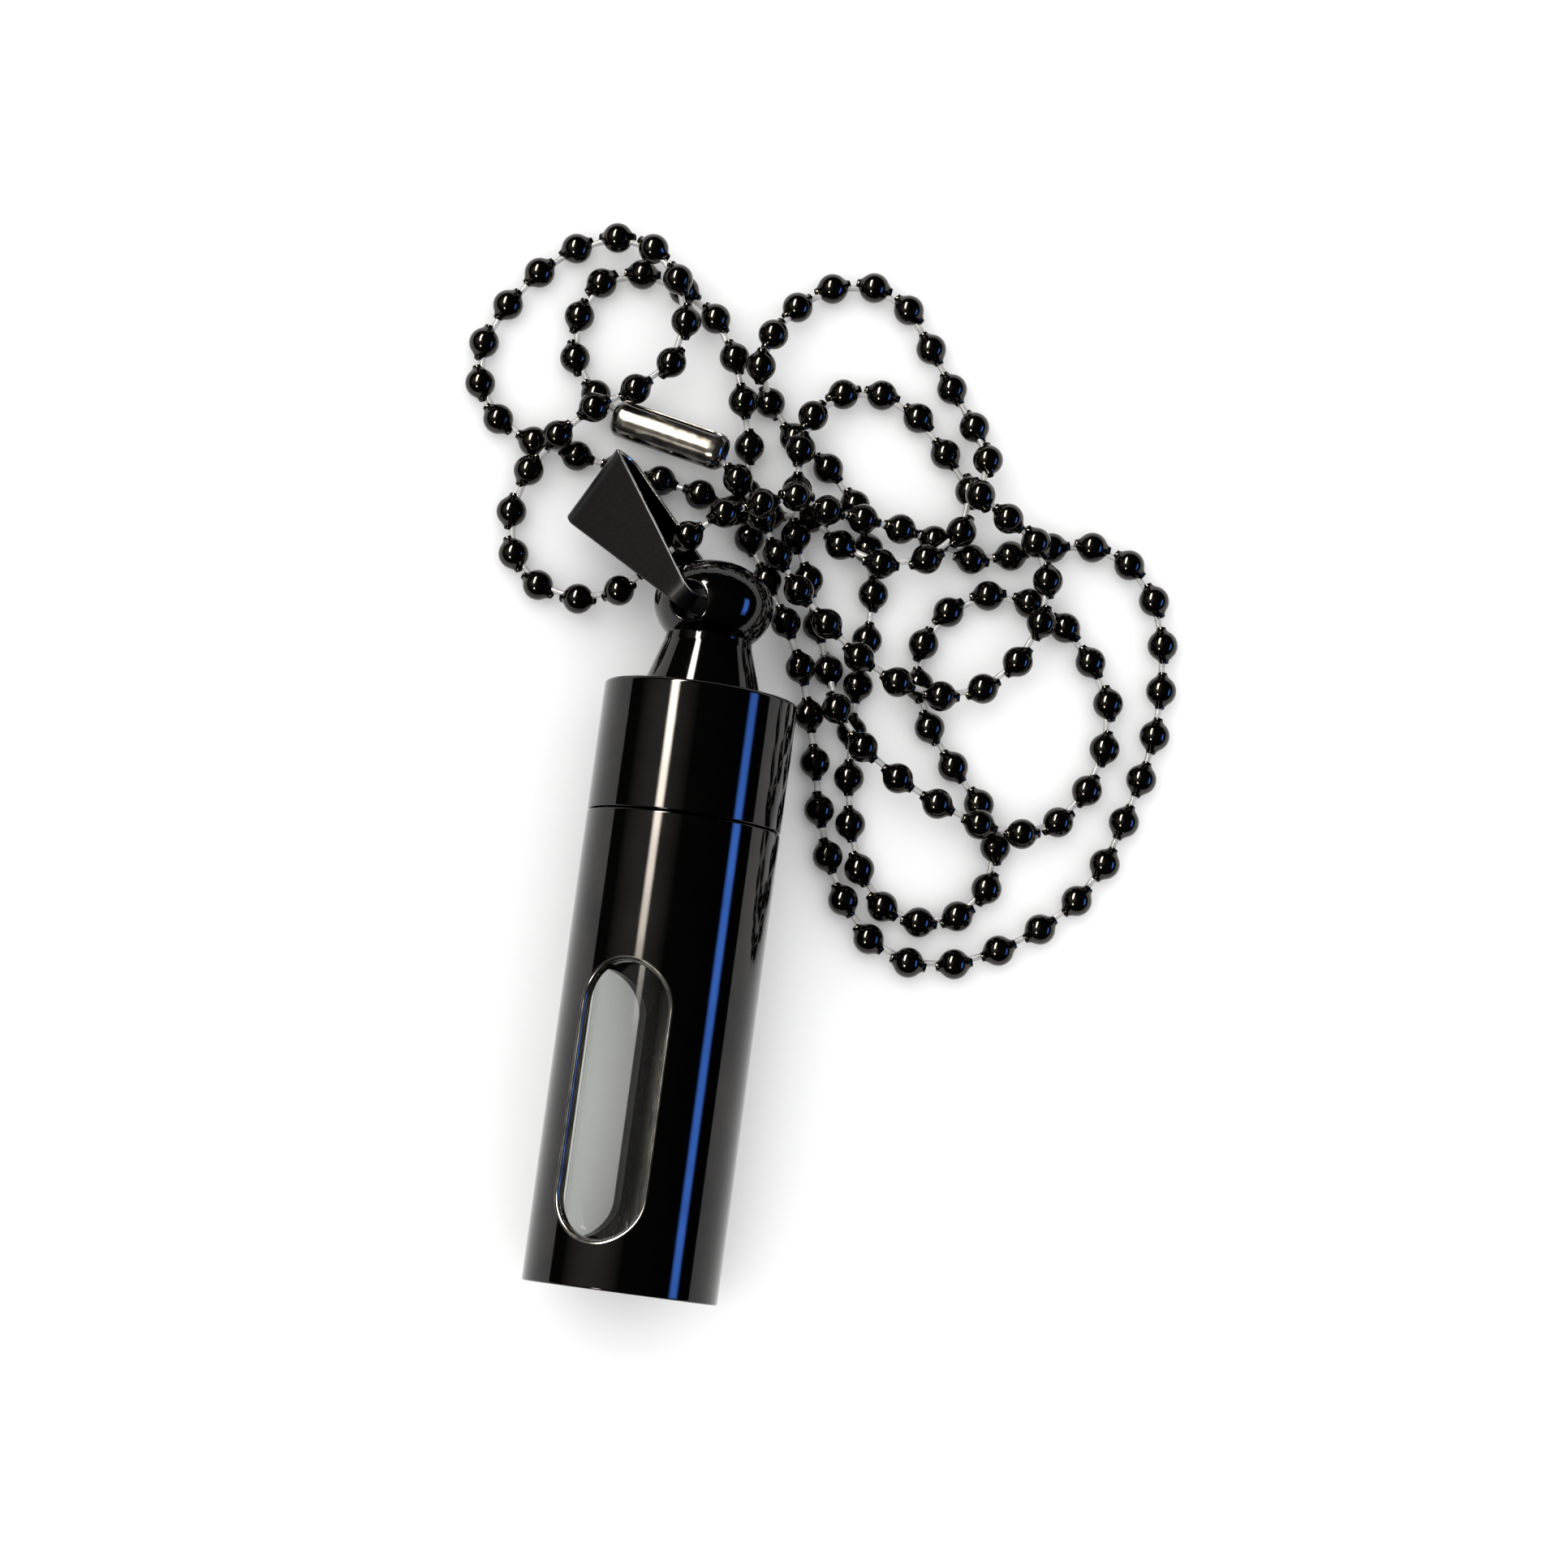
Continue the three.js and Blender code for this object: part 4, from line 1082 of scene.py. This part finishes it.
def wires_of(first, last):
    """A run's wires; the wire that leaves a loop belongs to the loop's last run."""
    start = first - 1 if first > 0 and first - 1 not in LOOP_ENDS else first
    end = last + 1 if last + 1 in SWIVELS or last in LOOP_ENDS else last
    return [wire(i) for i in range(start, end)]


def build_chain():
    turns = np.random.default_rng(11).uniform(0, 2 * math.pi, len(BEADS))
    template = bead_template()
    run_count = swivel_count = first = 0
    for body, last in CHAIN_PIECES:
        swivel = body == "swivel"
        if swivel:
            swivel_count += 1
            name = body = f"swivel_bead_{swivel_count}"
        else:
            run_count += 1
            name = f"chain_run_{run_count:02d}"
        verts, faces, normals = merged(
            [bead(template, i, turns[i]) for i in range(first, last + 1)])
        make(name + "_beads", verts, faces, [BEAD_BLACK], body, name, normals)
        if not swivel:
            verts, faces, normals = merged(wires_of(first, last))
            make(name + "_links", verts, faces, [WIRE], body, name, normals)
        first = last + 1


build_chain()

# ---- connector: a rolled sleeve with a long seam and turned-in ends, round the two end beads ----
SLEEVE_RADIUS = 1.48
SLEEVE_END_RADIUS = 1.02
SLEEVE_OVERHANG = 1.3  # past each end bead's centre
SLEEVE_WALL = 0.19
SLEEVE_END_WALL = 0.16
SLEEVE_COLUMNS = 56
SEAM_HALF_GAP = 0.275
SEAM_SIDE = np.array([0.35, 0.75, 0.6])  # the way the seam faces, before squaring to the axis
# The turned-in end: (distance in from the end, radius).
SLEEVE_END = [
    (0, SLEEVE_END_RADIUS + 0.02),
    (0.02, SLEEVE_END_RADIUS + 0.12),
    (0.14, SLEEVE_RADIUS - 0.24),
    (0.34, SLEEVE_RADIUS - 0.08),
    (0.65, SLEEVE_RADIUS),
]


def sleeve_profile(half):
    """The sheet's outer and inner outlines as (along, radius), forming one loop."""
    outer = [(-half + distance, radius) for distance, radius in SLEEVE_END]
    outer += [(along, SLEEVE_RADIUS) for along in np.linspace(-half + 1.2, half - 1.2, 14)]
    outer += [(half - distance, radius) for distance, radius in reversed(SLEEVE_END)]
    inner = [
        (along * (half - SLEEVE_END_WALL) / half, max(radius - SLEEVE_WALL, SLEEVE_END_RADIUS))
        for along, radius in reversed(outer)
    ]
    return outer, inner


def build_connector():
    start, end = BEADS[-1], BEADS[0]
    axis = unit(end - start)
    middle = (start + end) / 2
    half = np.linalg.norm(end - start) / 2 + SLEEVE_OVERHANG
    up = unit(SEAM_SIDE - axis * (SEAM_SIDE @ axis))
    side = np.cross(axis, up)
    outer, inner = sleeve_profile(half)
    verts, faces, face_materials = [], [], []
    for along, radius in outer + inner:
        # the seam closes up towards the sleeve's ends
        gap = SEAM_HALF_GAP * np.clip((half - 0.75 - abs(along)) / 0.5, 0.16, 1)
        first = math.asin(gap / radius)
        for k in range(SLEEVE_COLUMNS + 1):
            angle = first + (2 * math.pi - 2 * first) * k / SLEEVE_COLUMNS
            out = up * math.cos(angle) + side * math.sin(angle)
            verts.append(middle + axis * along + out * radius)
    width = SLEEVE_COLUMNS + 1
    outer_count = len(outer)
    count = outer_count + len(inner)
    for i in range(count):
        row, following = i * width, (i + 1) % count * width
        for k in range(SLEEVE_COLUMNS):
            faces.append((row + k, row + k + 1, following + k + 1, following + k))
            # faces inside the sleeve take the darker nickel, whose darker colour is painted shade
            face_materials.append(0 if i < outer_count or i == count - 1 else 1)
    # the cut faces of the sheet along the seam
    for k in (0, SLEEVE_COLUMNS):
        for i in range(outer_count - 1):
            opposite = count - 1 - i
            rows = (i, i + 1, opposite - 1, opposite)
            faces.append(tuple(row * width + k for row in rows))
            face_materials.append(0)
    make("connector_sleeve", verts, faces, [SILVER, SILVER_PAINTED_SHADE], "connector", "connector",
         face_materials=face_materials)


build_connector()


# ---- lamps, table, world, key light, camera -------------------------------------------------
def lamp_panel(name, centre, target, width, length, colour, strength):
    """A soft-edged glowing quad facing a target, seen only in reflections; its length is near Y."""
    centre = np.array(centre, float)
    z = unit(np.array(target, float) - centre)
    y = unit(np.array([0.0, 1.0, 0.0]) - z * z[1])
    x = np.cross(y, z)
    corners = [(-1, -1), (1, -1), (1, 1), (-1, 1)]
    mesh = bpy.data.meshes.new(name)
    points = [tuple((centre + x * (i * width / 2) + y * (j * length / 2)) * MM) for i, j in corners]
    mesh.from_pydata(points, [], [(0, 1, 2, 3)])
    uv_map = mesh.uv_layers.new(name="UVMap")
    for k, (i, j) in enumerate(corners):
        uv_map.data[k].uv = ((i + 1) / 2, (j + 1) / 2)
    lamp = bpy.data.objects.new(name, mesh)
    bpy.context.scene.collection.objects.link(lamp)

    glow, tree, unused_shader = new_material(name + "_glow")
    tree.nodes.remove(unused_shader)
    emission = tree.nodes.new("ShaderNodeEmission")
    uv_node = tree.nodes.new("ShaderNodeUVMap")
    split = tree.nodes.new("ShaderNodeSeparateXYZ")
    tree.links.new(uv_node.outputs["UV"], split.inputs["Vector"])
    across, along = split.outputs["X"], split.outputs["Y"]
    tint = ramp(tree, across, [(0.0, colour), (1.0, colour)])
    soft = [(0.0, 0.0), (0.3, 1.0), (0.7, 1.0), (1.0, 0.0)]
    shape = product(tree, level(tree, across, soft), level(tree, along, soft))
    tree.links.new(tint, emission.inputs["Color"])
    tree.links.new(product(tree, shape, strength), emission.inputs["Strength"])
    output = tree.nodes["Material Output"]
    tree.links.new(emission.outputs["Emission"], output.inputs["Surface"])
    mesh.materials.append(glow)
    for ray in ("camera", "diffuse", "transmission", "volume_scatter", "shadow"):
        setattr(lamp, "visible_" + ray, False)


def build_table():
    half = 6.0  # metres
    z = (TABLE_Z - 0.01) * MM
    mesh = bpy.data.meshes.new("table")
    corners = [(-half, -half, z), (half, -half, z), (half, half, z), (-half, half, z)]
    mesh.from_pydata(corners, [], [(0, 1, 2, 3)])
    table = bpy.data.objects.new("table", mesh)
    bpy.context.scene.collection.objects.link(table)
    white, tree, shader = new_material("white_table")
    shades = [(0.3, (0.925, 0.925, 0.925)), (0.7, (0.94, 0.94, 0.938))]
    tree.links.new(ramp(tree, mapped_noise(tree, 30), shades), shader.inputs["Base Color"])
    shader.inputs["Roughness"].default_value = 0.9
    shader.inputs["Specular IOR Level"].default_value = 0.0
    mesh.materials.append(white)


def build_world():
    """White light all round, but a dim room in reflections, lighter overhead towards -X."""
    world = bpy.data.worlds.new("studio")
    bpy.context.scene.world = world
    world.use_nodes = True
    tree = world.node_tree
    white = tree.nodes["Background"]
    white.inputs["Color"].default_value = (1, 1, 1, 1)
    white.inputs["Strength"].default_value = 1.34
    ray = tree.nodes.new("ShaderNodeLightPath")
    room = tree.nodes.new("ShaderNodeBackground")
    room.inputs["Color"].default_value = (1.0, 0.97, 0.92, 1)
    mix = tree.nodes.new("ShaderNodeMixShader")
    place = tree.nodes.new("ShaderNodeTexCoord")
    towards_glow = tree.nodes.new("ShaderNodeVectorMath")
    towards_glow.operation = "DOT_PRODUCT"
    towards_glow.inputs[1].default_value = tuple(unit([-0.60, 0.08, 0.80]))
    tree.links.new(place.outputs["Generated"], towards_glow.inputs[0])
    stops = [(0.0, 0.015), (0.8, 0.04), (1.0, 0.5)]
    glow = level(tree, towards_glow.outputs["Value"], stops)
    tree.links.new(glow, room.inputs["Strength"])
    tree.links.new(ray.outputs["Is Glossy Ray"], mix.inputs["Fac"])
    tree.links.new(white.outputs["Background"], mix.inputs[1])
    tree.links.new(room.outputs["Background"], mix.inputs[2])
    tree.links.new(mix.outputs["Shader"], tree.nodes["World Output"].inputs["Surface"])


def soft_light(name, place, size, power):
    """A disk light aimed at the origin and kept out of reflections; sizes in metres, watts."""
    light = bpy.data.lights.new(name, "AREA")
    light.shape = "DISK"
    light.size = size
    light.energy = power
    lamp = bpy.data.objects.new(name, light)
    bpy.context.scene.collection.objects.link(lamp)
    lamp.location = place
    lamp.rotation_mode = "QUATERNION"
    lamp.rotation_quaternion = (-Vector(place)).to_track_quat("-Z", "Y")
    lamp.visible_glossy = False
    lamp.visible_camera = False


def build_camera(place, target, roll, lens):
    """A camera above the table; place and target in millimetres, roll in radians."""
    settings = bpy.data.cameras.new("camera")
    camera = bpy.data.objects.new("camera", settings)
    bpy.context.scene.collection.objects.link(camera)
    place = Vector(place) * MM
    view = (Vector(target) * MM - place).normalized()
    level_right = view.cross(Vector((0, 1, 0))).normalized()
    level_up = level_right.cross(view)
    right = math.cos(roll) * level_right + math.sin(roll) * level_up
    up = -math.sin(roll) * level_right + math.cos(roll) * level_up
    rotation = Matrix((right, up, -view)).transposed().to_4x4()
    camera.matrix_world = Matrix.Translation(place) @ rotation
    settings.sensor_width = 36.0
    settings.lens = lens
    settings.clip_start = 0.01
    settings.clip_end = 20.0
    bpy.context.scene.camera = camera


WARM = (1.0, 0.94, 0.83)
lamp_panel("lamp_warm", centre=(-176, 235, 305), target=(0, 60, 0), width=90, length=430,
           colour=WARM, strength=80.0)
lamp_panel("lamp_blue", centre=(280, 20, 126), target=(0, 20, 0), width=75, length=250,
           colour=(0.08, 0.26, 1.0), strength=12.0)
lamp_panel("lamp_small", centre=(-150, -175, 280), target=(10, 50, 0), width=72, length=92,
           colour=WARM, strength=50.0)
build_table()
build_world()
soft_light("key", place=(-0.35, 0.35, 0.8), size=0.8, power=0.8)
build_camera(place=(7.4, 1.115, 330.0), target=(7.247, 40.282, 0.0), roll=0.134, lens=98.96)
bpy.context.scene.view_settings.view_transform = "Standard"
bpy.context.scene.view_settings.look = "None"
